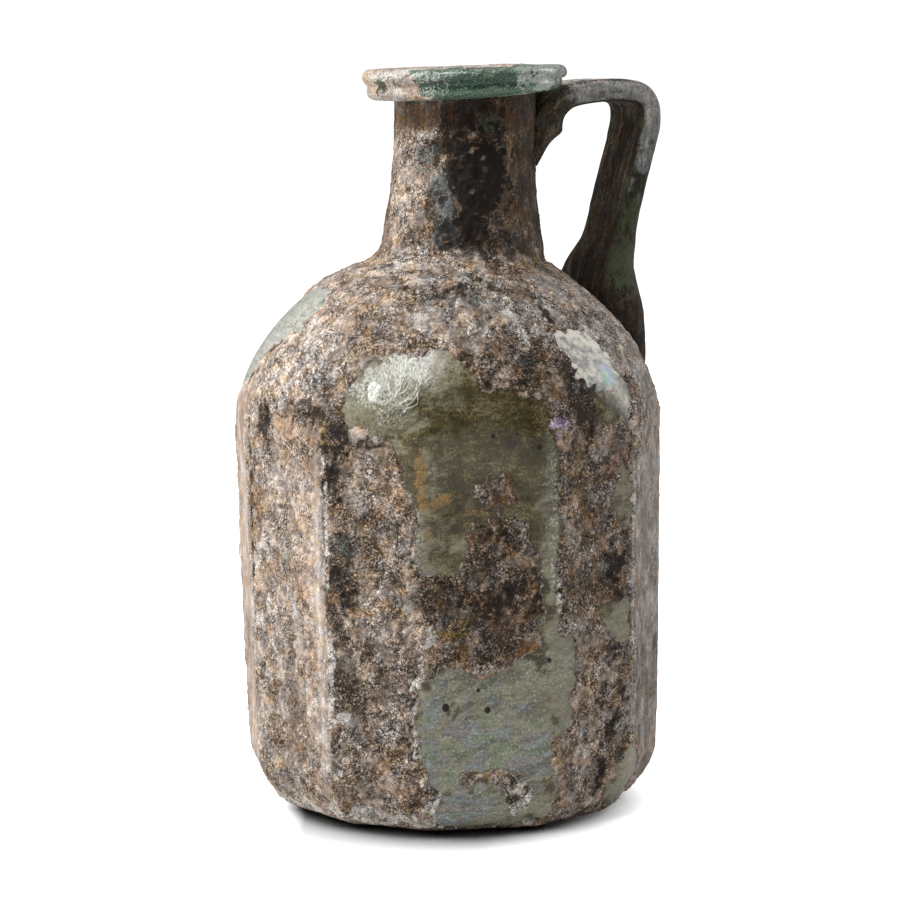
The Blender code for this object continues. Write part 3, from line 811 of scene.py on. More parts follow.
def relief_of(place, fields, sizes):
    """Height of the crust's top above the glass, in mm. It steps down where the layer field is low."""
    relief = sizes.relief / MM
    steps = ease(-0.06, 0.06, fields["layer"]) + 0.7 * ease(0.5, 0.6, fields["layer"])
    smooth = 1 - 0.85 * fields["drawn"]
    grain = noise(place, 1.2, 41, 2)
    lumpy = 0.3 * lumps(place, 2.4, 51) * ease(-0.2, 0.4, fields["layer"]) + 0.3 * lumps(place, 1.1, 52)
    rough = smooth * (0.7 * steps + 0.35 * grain + lumpy)
    broad = (1 + 0.3 * noise(place, 11, 31, 2)) * (1 - 0.5 * fields["drawn"])
    return np.maximum(sizes.crust / MM * broad + relief * (rough - 0.4 * fields["dark"]), CRUST_LEAST)


def clearing(place, angle, height):
    """How far, in mm, each place lies inside a window of bare glass. It is negative on the crust."""
    across = angle * MM_PER_DEGREE + 1.1 * noise(place, 5, 61) + 0.9 * noise(place, 1.7, 62, 3)
    up = height + 1.1 * noise(place, 5, 63) + 0.9 * noise(place, 1.7, 64, 3)
    open_glass = inside_any(WINDOWS, across, up)
    for turn, level, wide, high in CLEAR_SPOTS:
        away = np.hypot((across - turn * MM_PER_DEGREE) / wide, (up - level) / high)
        open_glass = np.maximum(open_glass, (1 - away) * min(wide, high))
    return np.minimum(open_glass, -inside_any(ISLANDS, across, up))


def crust_sheet(place, height, bare, fields):
    """Points of the crust's top, sunk just under bare glass. Also its quads, and which of them show."""
    thick = height * ease(0, CRUST_EDGE, -bare)
    thick = np.where(bare > 0, -CRUST_SINK * ease(0, 0.4, bare), thick)
    quads = quads_of(*bare.shape)
    shown = (thick.ravel()[quads] > -CRUST_HIDDEN).any(axis=1)
    # The hollow mark, with which the material paints shade into the pits
    fields["hollow"] = painted_pit_shade(thick)
    return place + normals_of(place) * thick[..., None], quads, shown


def painted_pit_shade(thick):
    """How low each point of the crust lies beside its neighbours, from -1 in a pit to 1 on a lump: the hollow
    mark, with which the crust's material paints shade into the pits and light onto the lumps.
    """
    mean = thick.copy()
    for _ in range(3):
        beside = [np.roll(mean, step, axis) for axis in (0, 1) for step in (2, -2)]
        mean = sum(beside, mean) / 5
    return np.clip((thick - mean) * 6, -1, 1)


# ---------------------------------------------------------------- materials


# A mix node's sockets by number: its factor, the two numbers or the two colours that it mixes, and the
# resulting colour. A pattern's Scale is one over the size of its features in mm.
FACTOR, LOW, HIGH, A, B, RESULT = 0, 2, 3, 6, 7, 2

# The numbers at each point that the glass and the crust read
GLASS_MARKS = ("teal", "deep", "film_and_sheen", "iridescence", "stain", "slate", "ochre", "frost_and_glints")
MARKS = (
    "cover", "hollow", "drawn", "ash", "peach", "blue", "lilac", "rust", "ochre", "glassy", "dark", "pale",
)


def fill(made, inputs):
    """Sets each of a node's inputs to a value, or links it to another node's output."""
    for name, value in inputs.items():
        if isinstance(value, bpy.types.NodeSocket):
            made.id_data.links.new(made.inputs[name], value)
        else:
            made.inputs[name].default_value = value


def node(tree, kind, inputs=None, stops=None, out=0, **settings):
    """Adds a node with its settings, its ramp's stops and its inputs, and returns one of its outputs."""
    made = tree.nodes.new("ShaderNode" + kind)
    for name, value in settings.items():
        setattr(made, name, value)
    if stops:
        ramp = made.color_ramp.elements
        while len(ramp) < len(stops):
            ramp.new(1.0)
        for element, (position, code) in zip(ramp, stops):
            element.position = position
            element.color = colour(code)
    fill(made, inputs or {})
    return made.outputs[out]


def new_material(name):
    """An empty material with its node tree, its shader and the position in mm as a texture's vector."""
    material = bpy.data.materials.new(name)
    material.use_nodes = True
    tree = material.node_tree
    place = node(tree, "TexCoord", out="Object")
    in_mm = node(tree, "VectorMath", {0: place, 1: (1 / MM,) * 3}, operation="MULTIPLY")
    return material, tree, tree.nodes["Principled BSDF"], in_mm


def laid_over(tree, base, tint, mark, pattern, ragged, most):
    """Lays a colour over another where a mark is strong, with edges that a pattern makes ragged."""
    broken = node(tree, "Math", {0: pattern, 1: ragged, 2: mark}, operation="MULTIPLY_ADD")
    low, high = 0.5 * ragged + 0.2, 0.5 * ragged + 0.8
    edges = {"Value": broken, "From Min": low, "From Max": high, "To Max": most}
    share = node(tree, "MapRange", edges, interpolation_type="SMOOTHSTEP")
    there = node(tree, "MapRange", {"Value": mark, "From Max": 0.25})
    share = node(tree, "Math", {0: share, 1: there}, operation="MULTIPLY")
    return node(tree, "Mix", {FACTOR: share, A: base, B: tint}, out=RESULT, data_type="RGBA")


def thin_lines(tree, pattern, middle, width, most):
    """Thin winding lines, where a pattern passes through its middle value."""
    away = node(tree, "Math", {0: pattern, 1: middle}, operation="SUBTRACT")
    away = node(tree, "Math", {0: away}, operation="ABSOLUTE")
    return node(tree, "MapRange", {"Value": away, "From Min": width, "From Max": 0.0, "To Max": most})


def specks(tree, place, channel, size, spread, rarity, most):
    """Round specks, in the cells of a pattern whose random number is above the rarity."""
    distance = node(tree, "TexVoronoi", {"Vector": place, "Scale": 1 / size})
    chosen = node(tree, "SeparateColor", {0: distance.node.outputs["Color"]}, out=channel)
    chosen = node(tree, "Math", {0: chosen, 1: rarity}, operation="GREATER_THAN")
    speck = {"Value": distance, "From Min": spread, "From Max": spread - 0.12, "To Max": most}
    return node(tree, "Math", {0: node(tree, "MapRange", speck), 1: chosen}, operation="MULTIPLY")


def crumbling(tree, place, smooth):
    """How strongly the crust crumbles: in broad patches, and less where it is drawn out in fibres."""
    patches = node(tree, "TexNoise", {"Vector": place, "Scale": 1 / 5, "Detail": 3.0, "Roughness": 0.6})
    strength = {"Value": patches, "From Min": 0.4, "From Max": 0.6, "To Min": 0.55, "To Max": 1.5}
    some = node(tree, "MapRange", {"Value": smooth, "To Min": 0.4})
    return node(tree, "Math", {0: node(tree, "MapRange", strength), 1: some}, operation="MULTIPLY")


def earth_colour(tree, place, value):
    """The colour of bare crust from its tone, with patches of a warmer, cooler or greyer cast."""
    earth = [
        (0.0, "#181009"), (0.22, "#34281b"), (0.38, "#57452f"), (0.46, "#6f5c46"),
        (0.56, "#94816c"), (0.67, "#ad9885"), (0.82, "#c9b6a5"), (1.0, "#e8ddd2"),
    ]
    skin = node(tree, "ValToRGB", {0: value}, stops=earth)
    hue = node(tree, "TexNoise", {"Vector": place, "Scale": 1 / 4, "Detail": 5.0, "Roughness": 0.65})
    casts = [(0.36, "#e2eaee"), (0.44, "#f4ebef"), (0.5, "#fffcf6"), (0.57, "#fff3dd"), (0.66, "#f6e4e0")]
    cast = {FACTOR: 1.0, A: skin, B: node(tree, "ValToRGB", {0: hue}, stops=casts)}
    skin = node(tree, "Mix", cast, out=RESULT, data_type="RGBA", blend_type="MULTIPLY")
    flakes = node(tree, "TexVoronoi", {"Vector": place, "Scale": 1 / 3.2}, out="Color")
    warmth = {"Value": node(tree, "SeparateColor", {0: flakes}, out=1), "To Min": 0.5, "To Max": 1.12}
    warmth = node(tree, "MapRange", warmth)
    return node(tree, "HueSaturation", {"Saturation": warmth, "Color": skin})


def crevices(tree, in_mm, place, grain):
    """The cracks between and across the crust's scales, and finer hairs, all broken up by its grain."""
    gaps = node(tree, "TexVoronoi", {"Vector": place, "Scale": 1 / 1.3}, feature="DISTANCE_TO_EDGE")
    gaps = node(tree, "MapRange", {"Value": gaps, "From Min": 0.1, "From Max": 0.0, "To Max": 0.9})
    bends = node(tree, "TexNoise", {"Vector": in_mm, "Scale": 1 / 1.5, "Detail": 3.0, "Roughness": 0.6})
    hairs = node(tree, "TexNoise", {"Vector": place, "Scale": 1 / 0.8, "Detail": 3.0, "Roughness": 0.6})
    cracks = (thin_lines(tree, bends, 0.5, 0.04, 1.0), gaps, thin_lines(tree, hairs, 0.5, 0.05, 0.95))
    broken = node(tree, "MapRange", {"Value": grain, "From Min": 0.38, "From Max": 0.52})
    return [node(tree, "Math", {0: crack, 1: broken}, operation="MULTIPLY") for crack in cracks]


@functools.cache
def burial_crust():
    """Lime and clay crust, grown on the glass in the ground: dead matt, crumbly, tan over dark brown."""
    colours = bpy.context.scene.jug_colours
    material, tree, shader, in_mm = new_material("burial crust, lime and clay")
    marks = {name: node(tree, "Attribute", out="Fac", attribute_name=name) for name in MARKS}
    drift = {"Vector": in_mm, "Scale": 1 / 1.1, "Detail": 4.0, "Roughness": 0.7}
    drift = node(tree, "TexNoise", drift, out="Color")
    place = node(tree, "VectorMath", {0: drift, 1: (1.2,) * 3, 2: in_mm}, operation="MULTIPLY_ADD")
    upright = node(tree, "VectorMath", {0: in_mm, 1: (1.0, 1.0, 0.14)}, operation="MULTIPLY")
    fibre = node(tree, "TexNoise", {"Vector": upright, "Scale": 1 / 0.8, "Detail": 4.0, "Roughness": 0.7})
    patch = node(tree, "TexNoise", {"Vector": in_mm, "Scale": 1 / 4.5, "Detail": 8.0, "Roughness": 0.68})
    patch = node(tree, "Mix", {FACTOR: marks["drawn"], LOW: patch, HIGH: fibre})
    grain = node(tree, "TexNoise", {"Vector": in_mm, "Scale": 1 / 0.36, "Detail": 2.0, "Roughness": 0.8})
    crumbs = node(tree, "TexVoronoi", {"Vector": place, "Scale": 1 / 0.42}, out="Color")
    crumb = node(tree, "SeparateColor", {0: crumbs})
    smooth = node(tree, "Math", {0: 1.0, 1: marks["drawn"]}, operation="SUBTRACT")
    crumbly = crumbling(tree, place, smooth)
    rough = node(tree, "Math", {0: crumb, 1: 0.38, 2: grain}, operation="MULTIPLY_ADD")
    rough = node(tree, "Math", {0: rough, 1: 0.68}, operation="SUBTRACT")
    rough = node(tree, "Math", {0: rough, 1: crumbly}, operation="MULTIPLY")
    value = node(tree, "Math", {0: patch, 1: 0.74, 2: marks["cover"]}, operation="MULTIPLY_ADD")
    value = node(tree, "Math", {0: value, 1: 0.3}, operation="SUBTRACT")
    value = node(tree, "Math", {0: value, 1: rough}, operation="ADD")
    skin = earth_colour(tree, place, value)
    ashen = node(tree, "HueSaturation", {"Saturation": 0.45, "Value": 0.95, "Color": skin})
    layers = (
        ("ash", ashen, 0.9, 0.8),
        ("peach", colours.peach, 0.9, 0.5),
        ("blue", colour("#858c8b"), 3.4, 0.6),
        ("lilac", colour("#c3abcd"), 1.0, 0.75),
        ("rust", colour("#7a5030"), 3.0, 0.45),
        ("ochre", colour("#9d8440"), 1.6, 0.65),
        ("glassy", colour("#465038"), 1.6, 0.85),
        ("dark", colours.dark, 4.0, 0.8),
        ("pale", colours.pale, 2.4, 0.85),
    )
    for name, tint, ragged, most in layers:
        skin = laid_over(tree, skin, tint, marks[name], patch, ragged, most)
    for crevice in crevices(tree, in_mm, place, grain):
        share = node(tree, "Math", {0: crevice, 1: crumbly}, operation="MULTIPLY", use_clamp=True)
        crack = {FACTOR: share, A: skin, B: colour("#1c130c")}
        skin = node(tree, "Mix", crack, out=RESULT, data_type="RGBA")
    thick = node(tree, "MapRange", {"Value": marks["cover"], "From Min": 0.5, "From Max": 0.75})
    # Dark specks, and pale specks that are painted glints: tiny highlights on the crust's flakes
    for tint, size, spread, rarity in (("#1a120c", 0.65, 0.32, 0.8), ("#d9d2c6", 0.6, 0.28, 0.84)):
        share = specks(tree, place, 0, size, spread, rarity, 1.0)
        share = node(tree, "Math", {0: share, 1: thick}, operation="MULTIPLY")
        share = node(tree, "Math", {0: share, 1: smooth}, operation="MULTIPLY")
        skin = node(tree, "Mix", {FACTOR: share, A: skin, B: colour(tint)}, out=RESULT, data_type="RGBA")
    # Painted shade and light: the colour is darker in the crust's pits and a little lighter on its lumps, by
    # the hollow mark
    depth = {"Value": marks["hollow"], "From Min": -1.0, "From Max": 0.6, "To Min": 0.5, "To Max": 1.06}
    shade = {FACTOR: 1.0, A: skin, B: node(tree, "MapRange", depth)}
    skin = node(tree, "Mix", shade, out=RESULT, data_type="RGBA", blend_type="MULTIPLY")
    gloss = {"Value": grain, "From Min": 0.35, "From Max": 0.7, "To Min": 0.9, "To Max": 0.55}
    broad = node(tree, "Bump", {"Height": patch, "Strength": 0.5, "Distance": 0.35 * MM})
    bump = node(tree, "Bump", {"Height": grain, "Strength": 0.7, "Distance": 0.15 * MM, "Normal": broad})
    gloss = node(tree, "MapRange", gloss)
    fill(shader, {"Base Color": skin, "Roughness": gloss, "Normal": bump, "Specular IOR Level": 0.2})
    return material


@functools.cache
def weathered_glass():
    """Soda-lime glass, blown and pressed, its skin weathered milky: see-through, with a dull gloss."""
    colours = bpy.context.scene.jug_colours
    material, tree, shader, in_mm = new_material("weathered soda-lime glass")
    marks = {name: node(tree, "Attribute", out="Fac", attribute_name=name) for name in GLASS_MARKS}
    level = node(tree, "VectorMath", {0: in_mm, 1: (0.3, 0.3, 1.0)}, operation="MULTIPLY")
    lines = node(tree, "TexNoise", {"Vector": level, "Scale": 1 / 1.1, "Detail": 4.0, "Roughness": 0.65})
    slant = {"Vector": in_mm, "Rotation": (0.0, STREAK_SLANT, STREAK_TURN), "Scale": (4.5, 1.0, 1.0)}
    slant = node(tree, "Mapping", slant, vector_type="TEXTURE")
    streaks = node(tree, "TexNoise", {"Vector": slant, "Scale": 1 / 2.2, "Detail": 4.0, "Roughness": 0.65})
    cloud = node(tree, "TexNoise", {"Vector": in_mm, "Scale": 1 / 5, "Detail": 7.0, "Roughness": 0.68})
    fine = node(tree, "TexNoise", {"Vector": in_mm, "Scale": 1 / 0.55, "Detail": 2.0, "Roughness": 0.7})
    value = cloud
    for pattern, amount in ((streaks, 0.6), (fine, 0.55), (lines, 0.25)):
        value = node(tree, "Math", {0: pattern, 1: amount, 2: value}, operation="MULTIPLY_ADD")
    value = node(tree, "Math", {0: value, 1: 0.665}, operation="SUBTRACT")
    olive = [(0.3, "#2c2512"), (0.44, "#514727"), (0.56, "#716641"), (0.74, "#9b9069")]
    body = node(tree, "ValToRGB", {0: value}, stops=olive)
    hue = {"Vector": in_mm, "Scale": 1 / 7, "Detail": 2.0, "Roughness": 0.55, "Distortion": 0.3}
    hues = [
        (0.38, "#829a77"), (0.44, "#a5a085"), (0.48, "#8a8c83"),
        (0.53, "#8d8499"), (0.58, "#8facb4"), (0.64, "#799072"),
    ]
    rainbow = node(tree, "ValToRGB", {0: node(tree, "TexNoise", hue)}, stops=hues)
    # The milky film and the white frost are laid on as they are, and also as painted sheen and glints
    layers = (
        ("teal", colours.teal, lines, 0.1, 1.0),
        ("deep", colours.deep, cloud, 1.2, 0.88),
        ("film_and_sheen", colours.film_and_sheen, cloud, 1.7, 0.76),
        ("iridescence", rainbow, cloud, 0.8, 0.55),
        ("stain", colour("#2e250f"), streaks, 5.0, 0.45),
        ("slate", colour("#2a2b2a"), cloud, 1.8, 0.42),
        ("ochre", colour("#b08a4c"), fine, 1.6, 0.7),
        ("frost_and_glints", colours.frost_and_glints, fine, 2.6, 0.75),
    )
    for name, tint, pattern, ragged, most in layers:
        body = laid_over(tree, body, tint, marks[name], pattern, ragged, most)
    mottle = node(tree, "Math", {0: fine, 1: lines}, operation="ADD")
    mottle = {"Value": mottle, "From Min": 0.72, "From Max": 1.28, "To Min": 0.62, "To Max": 1.38}
    mottle = {FACTOR: 1.0, A: body, B: node(tree, "MapRange", mottle)}
    body = node(tree, "Mix", mottle, out=RESULT, data_type="RGBA", blend_type="MULTIPLY")
    scratch = thin_lines(tree, lines, 0.52, 0.012, 0.9)
    share = node(tree, "Math", {0: scratch, 1: marks["frost_and_glints"]}, operation="MULTIPLY")
    body = node(tree, "Mix", {FACTOR: share, A: body, B: colour("#dfe2d6")}, out=RESULT, data_type="RGBA")
    for tint, size, spread, rarity in (("#1c150d", 0.8, 0.22, 0.84), ("#d3d2c6", 0.8, 0.18, 0.92)):
        share = specks(tree, in_mm, 1, size, spread, rarity, 0.7)
        body = node(tree, "Mix", {FACTOR: share, A: body, B: colour(tint)}, out=RESULT, data_type="RGBA")
    broad = node(tree, "Bump", {"Height": cloud, "Strength": 0.5, "Distance": 0.3 * MM})
    bump = node(tree, "Bump", {"Height": fine, "Strength": 0.35, "Distance": 0.08 * MM, "Normal": broad})
    fill(shader, {"Base Color": body, "Normal": bump, "Roughness": 0.22, "Specular IOR Level": 0.32})
    fill(shader, {"IOR": 1.5, "Transmission Weight": 0.5})
    return material


def pit_filling():
    """Clay and iron oxide packed in burst bubbles: nearly black, matt."""
    material, tree, shader, in_mm = new_material("pit filling, clay and iron oxide")
    fine = node(tree, "TexNoise", {"Vector": in_mm, "Scale": 1 / 0.3, "Detail": 2.0})
    tint = node(tree, "ValToRGB", {0: fine}, stops=[(0.35, "#070402"), (0.65, "#201408")])
    fill(shader, {"Base Color": tint, "Roughness": 0.85})
    return material


def dried_film():
    """Lime left where ground water dried on the glass: thin, white and chalky."""
    material, tree, shader, in_mm = new_material("dried lime film")
    cloud = node(tree, "TexNoise", {"Vector": in_mm, "Scale": 1 / 0.8, "Detail": 3.0, "Roughness": 0.7})
    tint = node(tree, "ValToRGB", {0: cloud}, stops=[(0.4, "#9a9b8c"), (0.58, "#e2e4db")])
    fill(shader, {"Base Color": tint, "Roughness": 0.5})
    return material


def pearly_flake():
    """Layered, leached glass that peels like mica: off-white edges and a mother-of-pearl middle."""
    material, tree, shader, in_mm = new_material("leached glass flake, pearly")
    cloud = node(tree, "TexNoise", {"Vector": in_mm, "Scale": 1 / 2.5, "Detail": 6.0, "Roughness": 0.7})
    greys = [(0.4, "#6a6b6c"), (0.47, "#8f8d88"), (0.53, "#aea89c"), (0.62, "#ccc6b9")]
    skin = node(tree, "ValToRGB", {0: cloud}, stops=greys)
    hues = [(0.4, "#5f9a86"), (0.46, "#7fae8e"), (0.51, "#7d9fc0"), (0.56, "#b49ac0"), (0.62, "#b9b0a8")]
    wide = node(tree, "TexNoise", {"Vector": in_mm, "Scale": 1 / 3, "Detail": 2.0})
    pearl = node(tree, "ValToRGB", {0: wide}, stops=hues)
    for name, tint, most in (("pearl", pearl, 0.75), ("edge", colour("#ccc6b8"), 0.9)):
        mark = node(tree, "Attribute", out="Fac", attribute_name=name)
        broken = node(tree, "Math", {0: cloud, 1: 1.6, 2: mark}, operation="MULTIPLY_ADD")
        share = node(tree, "MapRange", {"Value": broken, "From Min": 1.0, "From Max": 1.5, "To Max": most})
        skin = node(tree, "Mix", {FACTOR: share, A: skin, B: tint}, out=RESULT, data_type="RGBA")
    bump = node(tree, "Bump", {"Height": cloud, "Strength": 0.4, "Distance": 0.2 * MM})
    fill(shader, {"Base Color": skin, "Normal": bump, "Roughness": 0.45, "Sheen Weight": 0.3})
    return material


# ---------------------------------------------------------------- pieces


class JUG_OT_glass(bpy.types.Operator):
    """Builds the closed glass vessel with its true wall, its rim and its hollow"""

    bl_idname = "jug.glass"
    bl_label = "Glass vessel"

    def execute(self, context):
        angles = all_round(GLASS_TURN)
        line = [
            foot_line(),
            spaced(np.concatenate([heel_line(), body_line()]), GLASS_SPACING["body"])[1:],
            spaced(neck_line(), GLASS_SPACING["neck"]),
            spaced(rim_line(), GLASS_SPACING["rim"])[1:],
        ]
        angle, z, outer = grid_on(np.concatenate(line), angles)
        _, level, inner = grid_in_hollow(GLASS_SPACING["hollow"], angles)
        within = {"teal": ease(170, 180, level)}
        fields = self.fields(outer, angle, z)
        for name, values in fields.items():
            fields[name] = np.concatenate([values, within.get(name, 0 * level)])
        points = np.concatenate([outer, inner])
        rows, columns = points.shape[:2]
        quads, caps = quads_of(rows, columns), end_caps(rows, columns)
        piece = mesh_piece("jug_glass", points, quads, weathered_glass(), fields, caps)
        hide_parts("jug")
        return {"FINISHED"}

    @staticmethod
    def fields(outer, angle, z):
        """How teal, how milky and how iridescent the glass is at each point, with painted sheen and glints
        along the ridges, on the window's upper left, on the left shoulder and on the collar's lip.
        """
        ragged = 0.3 * noise(outer, 4, 71, 3) + 0.3 * noise(outer, 1.6, 72, 2)
        teal = ease(176, 181, z)
        level = (z - RIM_UNDERSIDE) / (RIM_TOP - RIM_UNDERSIDE) + 0.25 * ragged
        # The collar's lip, whose film and frost are paler partly as painted light on its rounded top
        top = ease(0.68, 0.82, level)
        return {
            "teal": teal,
            "deep": teal * ease(0.2, 0.36, level) * (1 - top) * (1 - 0.5 * ease(25, 60, np.abs(angle))),
            "film_and_sheen": np.maximum(spots(FILMS_AND_SHEEN, angle, z, ragged), 0.24 * top * teal),
            "iridescence": spots(IRIDESCENCE, angle, z, ragged),
            "stain": spots(STAINS, angle, z, ragged) * (1 - teal),
            "slate": spots(SLATE, angle, z, 0.8 * ragged),
            "ochre": spots(GLASS_OCHRE, angle, z, ragged),
            "frost_and_glints": np.maximum(spots(FROST_AND_GLINTS, angle, z, ragged), (0.14 + 0.12 * top) * teal),
        }


class JUG_OT_body_crust(bpy.types.Operator):
    """Lays the crust on the body and the shoulder, open where it has flaked off"""

    bl_idname = "jug.body_crust"
    bl_label = "Body crust"

    def execute(self, context):
        sizes = context.scene.jug_sizes
        angles = angles_round(sizes.fine / MM, sizes.coarse / MM)
        under = np.stack([np.linspace(FOOT_RADIUS - 6, FOOT_RADIUS, 8), np.full(8, 0.3)], axis=1)
        line = np.concatenate([heel_line(), body_line(), neck_line()[:3]])
        line = np.concatenate([under[:-1], spaced(line, sizes.fine / MM)])
        angle, z, place = grid_on(line, angles)
        fields = crust_fields(place, angle, z)
        bare = clearing(place, angle, z)
        lip = self.edges(place, angle, z, bare, fields)
        height = (relief_of(place, fields, sizes) + 0.28 * lip) * (0.15 + 0.85 * ease(0, 3, z))
        points, quads, shown = crust_sheet(place, height, bare, fields)
        turn = angles[quads[:, 0] % len(angles)]
        for name, (start, end) in CRUST_PARTS.items():
            here = (turn - start) % 360 < end - start
            crust_piece(name, points, quads[shown & here], fields)
        return {"FINISHED"}

    @staticmethod
    def edges(place, angle, z, bare, fields):
        """How far the crust's edge curls up. Also whitens that edge and darkens the crack behind it."""
        lip = ease(0.2, 0.7, noise(place, 6, 81)) * np.exp(-((bare + 0.6) ** 2) / 0.5)
        rimmed = ease(0.1, 0.5, noise(place, 8, 82)) * np.exp(-((bare + 0.25) ** 2) / 0.08)
        curled = spots([(*spot, 1) for spot in CURLED], angle, z, 0)
        rimmed = np.maximum(0.6 * rimmed, 0.8 * curled * ease(-0.45, -0.2, bare))
        fields["pale"] = np.maximum(fields["pale"], 0.9 * rimmed)
        fields["dark"] = np.maximum(fields["dark"], 1.2 * curled * np.exp(-((bare + 1.3) ** 2) / 0.08))
        return np.maximum(lip, 1.1 * curled * np.exp(-((bare + 0.5) ** 2) / 0.4))


class JUG_OT_neck_crust(bpy.types.Operator):
    """Lays the crust on the neck and on the ends and the back of the rim"""

    bl_idname = "jug.neck_crust"
    bl_label = "Neck and rim crust"

    def execute(self, context):
        sizes = context.scene.jug_sizes
        angle, z, place = grid_on(spaced(neck_line(), 0.42), all_round(1.2))
        fields = crust_fields(place, angle, z)
        height = relief_of(place, fields, sizes) * 0.75
        points, quads, _ = crust_sheet(place, height, np.full(angle.shape, -5.0), fields)
        crust_piece("crust_neck", points, quads, fields)
        angle, z, place = grid_on(spaced(rim_line(), 0.35), all_round(0.9))
        fields = crust_fields(place, angle, z)
        fields["cover"] = RIM_TONE + 0.06 * fields["layer"]
        fields["drawn"] = np.full(angle.shape, 0.5)
        height = 0.35 * relief_of(place, fields, sizes)
        points, quads, shown = crust_sheet(place, height, self.rim_clearing(place, angle), fields)
        crust_piece("crust_rim", points, quads[shown], fields)
        return {"FINISHED"}

    @staticmethod
    def rim_clearing(place, angle):
        """How far each place on the rim lies from the crust that its ends and its back still wear, in mm."""
        patchy = 2.5 * noise(place, 5, 91, 4)
        left_end = (np.abs(angle + 86) - 46) * math.radians(RIM_RADIUS)
        behind = 8 - 9 * ease(0, 12, place[..., 1]) * ease(-0.2, 0.3, noise(place, 9, 92))
        return np.minimum(left_end, behind) + patchy


class JUG_OT_handle(bpy.types.Operator):
    """Draws out the strap handle, with its grooves, its wide foot and its crust"""

    bl_idname = "jug.handle"
    bl_label = "Strap handle"

    def execute(self, context):
        line = spaced(through(np.array(HANDLE_SPINE), 300), 0.5)
        share = np.linspace(0, 1, len(line))[:, None]
        along = np.gradient(line, axis=0)
        along /= np.linalg.norm(along, axis=1, keepdims=True)
        width, thickness = self.strap_size(share)
        across, rise = self.section(width, thickness)
        points = np.stack(
            [line[:, :1] - along[:, 1:] * rise, across, line[:, 1:] + along[:, :1] * rise],
            axis=-1,
        )
        drawn = np.stack([np.broadcast_to(30 * share, rise.shape), across, rise], axis=-1)
        fields = self.fields(points, drawn, share, across / width, rise / thickness)
        normal = normals_of(points)
        relief = 0.07 * noise(drawn, 1.2, 101, 2) + 0.05 * noise(points, 3.5, 102, 2)
        inner_side = ease(0.1, -0.4, rise / thickness)
        relief = relief + KNOB[1] * inner_side * np.exp(-(((share - KNOB[0]) / KNOB[2]) ** 2))
        # The hollow mark: painted shade in the handle's low places and painted light on its lumps and its
        # knob
        fields["hollow"] = np.clip(2.5 * relief, -1, 1)
        points = points - normal * np.sign((normal[:, 3, 0] * along[:, 1]).sum()) * relief[..., None]
        rows, columns = across.shape
        crust_piece("handle", points, quads_of(rows, columns), fields, end_caps(rows, columns))
        return {"FINISHED"}

    @staticmethod
    def strap_size(share):
        """The strap's width and thickness along its length, from its root to its broad foot and its tip."""
        foot, tip = ease(0.6, 0.8, share) ** 1.6, ease(0.8, 1.0, share)
        sizes = []
        for root, widest, end in zip(STRAP, HANDLE_FOOT, HANDLE_TIP):
            size = root + (widest - root) * foot
            sizes.append(size + (end - size) * tip)
        return sizes[0], sizes[1] + ROOT_SWELL * (1 - ease(0, 0.2, share))

    @staticmethod
    def section(width, thickness):
        """The strap's section, across and outwards: half-round edges, two outer grooves and an inner one."""
        half, reach = thickness / 2, (width - thickness) / 2
        place, turn = np.linspace(0, 1, 40)[None, :], np.linspace(0, math.pi, 14)[None, 1:-1]
        across, rise = [], []
        for face, grooves in ((1, 2), (-1, 1)):
            ripple = GROOVE_DEPTH * (0.5 - 0.5 * np.cos(2 * math.pi * grooves * place))
            across += [face * reach * (1 - 2 * place), -face * (reach + half * np.sin(turn))]
            rise += [face * (half - ripple), face * half * np.cos(turn)]
        return np.concatenate(across, axis=1), np.concatenate(rise, axis=1)

    @staticmethod
    def fields(points, drawn, share, across, rise):
        """Brown and fibrous on the faces, bare dark green glass along the edges, and ashen on the top. The
        top and the strap's outermost edges are lighter partly as painted light, and the inner face near the
        root is darker as painted shade.
        """
        fields = {mark: np.zeros(across.shape) for mark in MARKS}
        patches = noise(points, 5, 111, 3)
        streaks = noise(drawn * (0.6, 1, 1), 0.9, 112, 3)
        top = ease(0.1, 0.2, share + 0.02 * patches) * (1 - ease(0.4, 0.5, share + 0.04 * patches))
        edge = ease(0.35, 0.39, np.abs(across) + 0.015 * patches)
        outer = top * ease(-0.1, 0.1, rise + 0.36 * edge)
        clear = edge * (1 - ease(0.74, 0.82, share + 0.04 * patches)) * ease(0.08, 0.16, share)
        # Grey-blue and pale along the strap's outermost edges: partly deposit, partly a painted highlight
        # from the right strip
        brim = ease(0.41, 0.46, np.abs(across) + 0.01 * patches) * ease(0.12, 0.2, share)
        brim = brim * (1 - ease(0.5, 0.6, share + 0.06 * patches))
        fields["blue"] = 0.9 * brim
        fields["pale"] = 0.26 * brim
        fields["drawn"] = np.full(across.shape, 0.85)
        glassy = (0.8 + 0.4 * noise(points, 6, 113, 3)) * clear
        fields["glassy"] = glassy * (1 - 0.8 * outer) * (1 - 0.6 * brim)
        fields["ash"] = np.clip(outer + 0.5 * edge * ease(0.1, 0.4, patches), 0, 1)
        cover = 0.33 - 0.12 * ease(0.3, 0.7, share) + 0.1 * streaks
        # Lighter on the outer face of the top: partly ash, partly painted light from the right strip
        fields["cover"] = cover + outer * (0.32 + 0.2 * streaks) - 0.06 * edge
        burnt = 0.9 * clear * ease(-0.3, 0.2, patches) * ease(0.64, 0.54, share)
        # Painted shade on the inner face near the root, between the strap and the neck
        painted_shade_under_root = 0.5 * (1 - ease(0.2, 0.4, share)) * (rise < 0)
        fields["dark"] = np.clip(burnt + painted_shade_under_root - 0.1, 0, 1) * (1 - 0.7 * brim)
        return fields


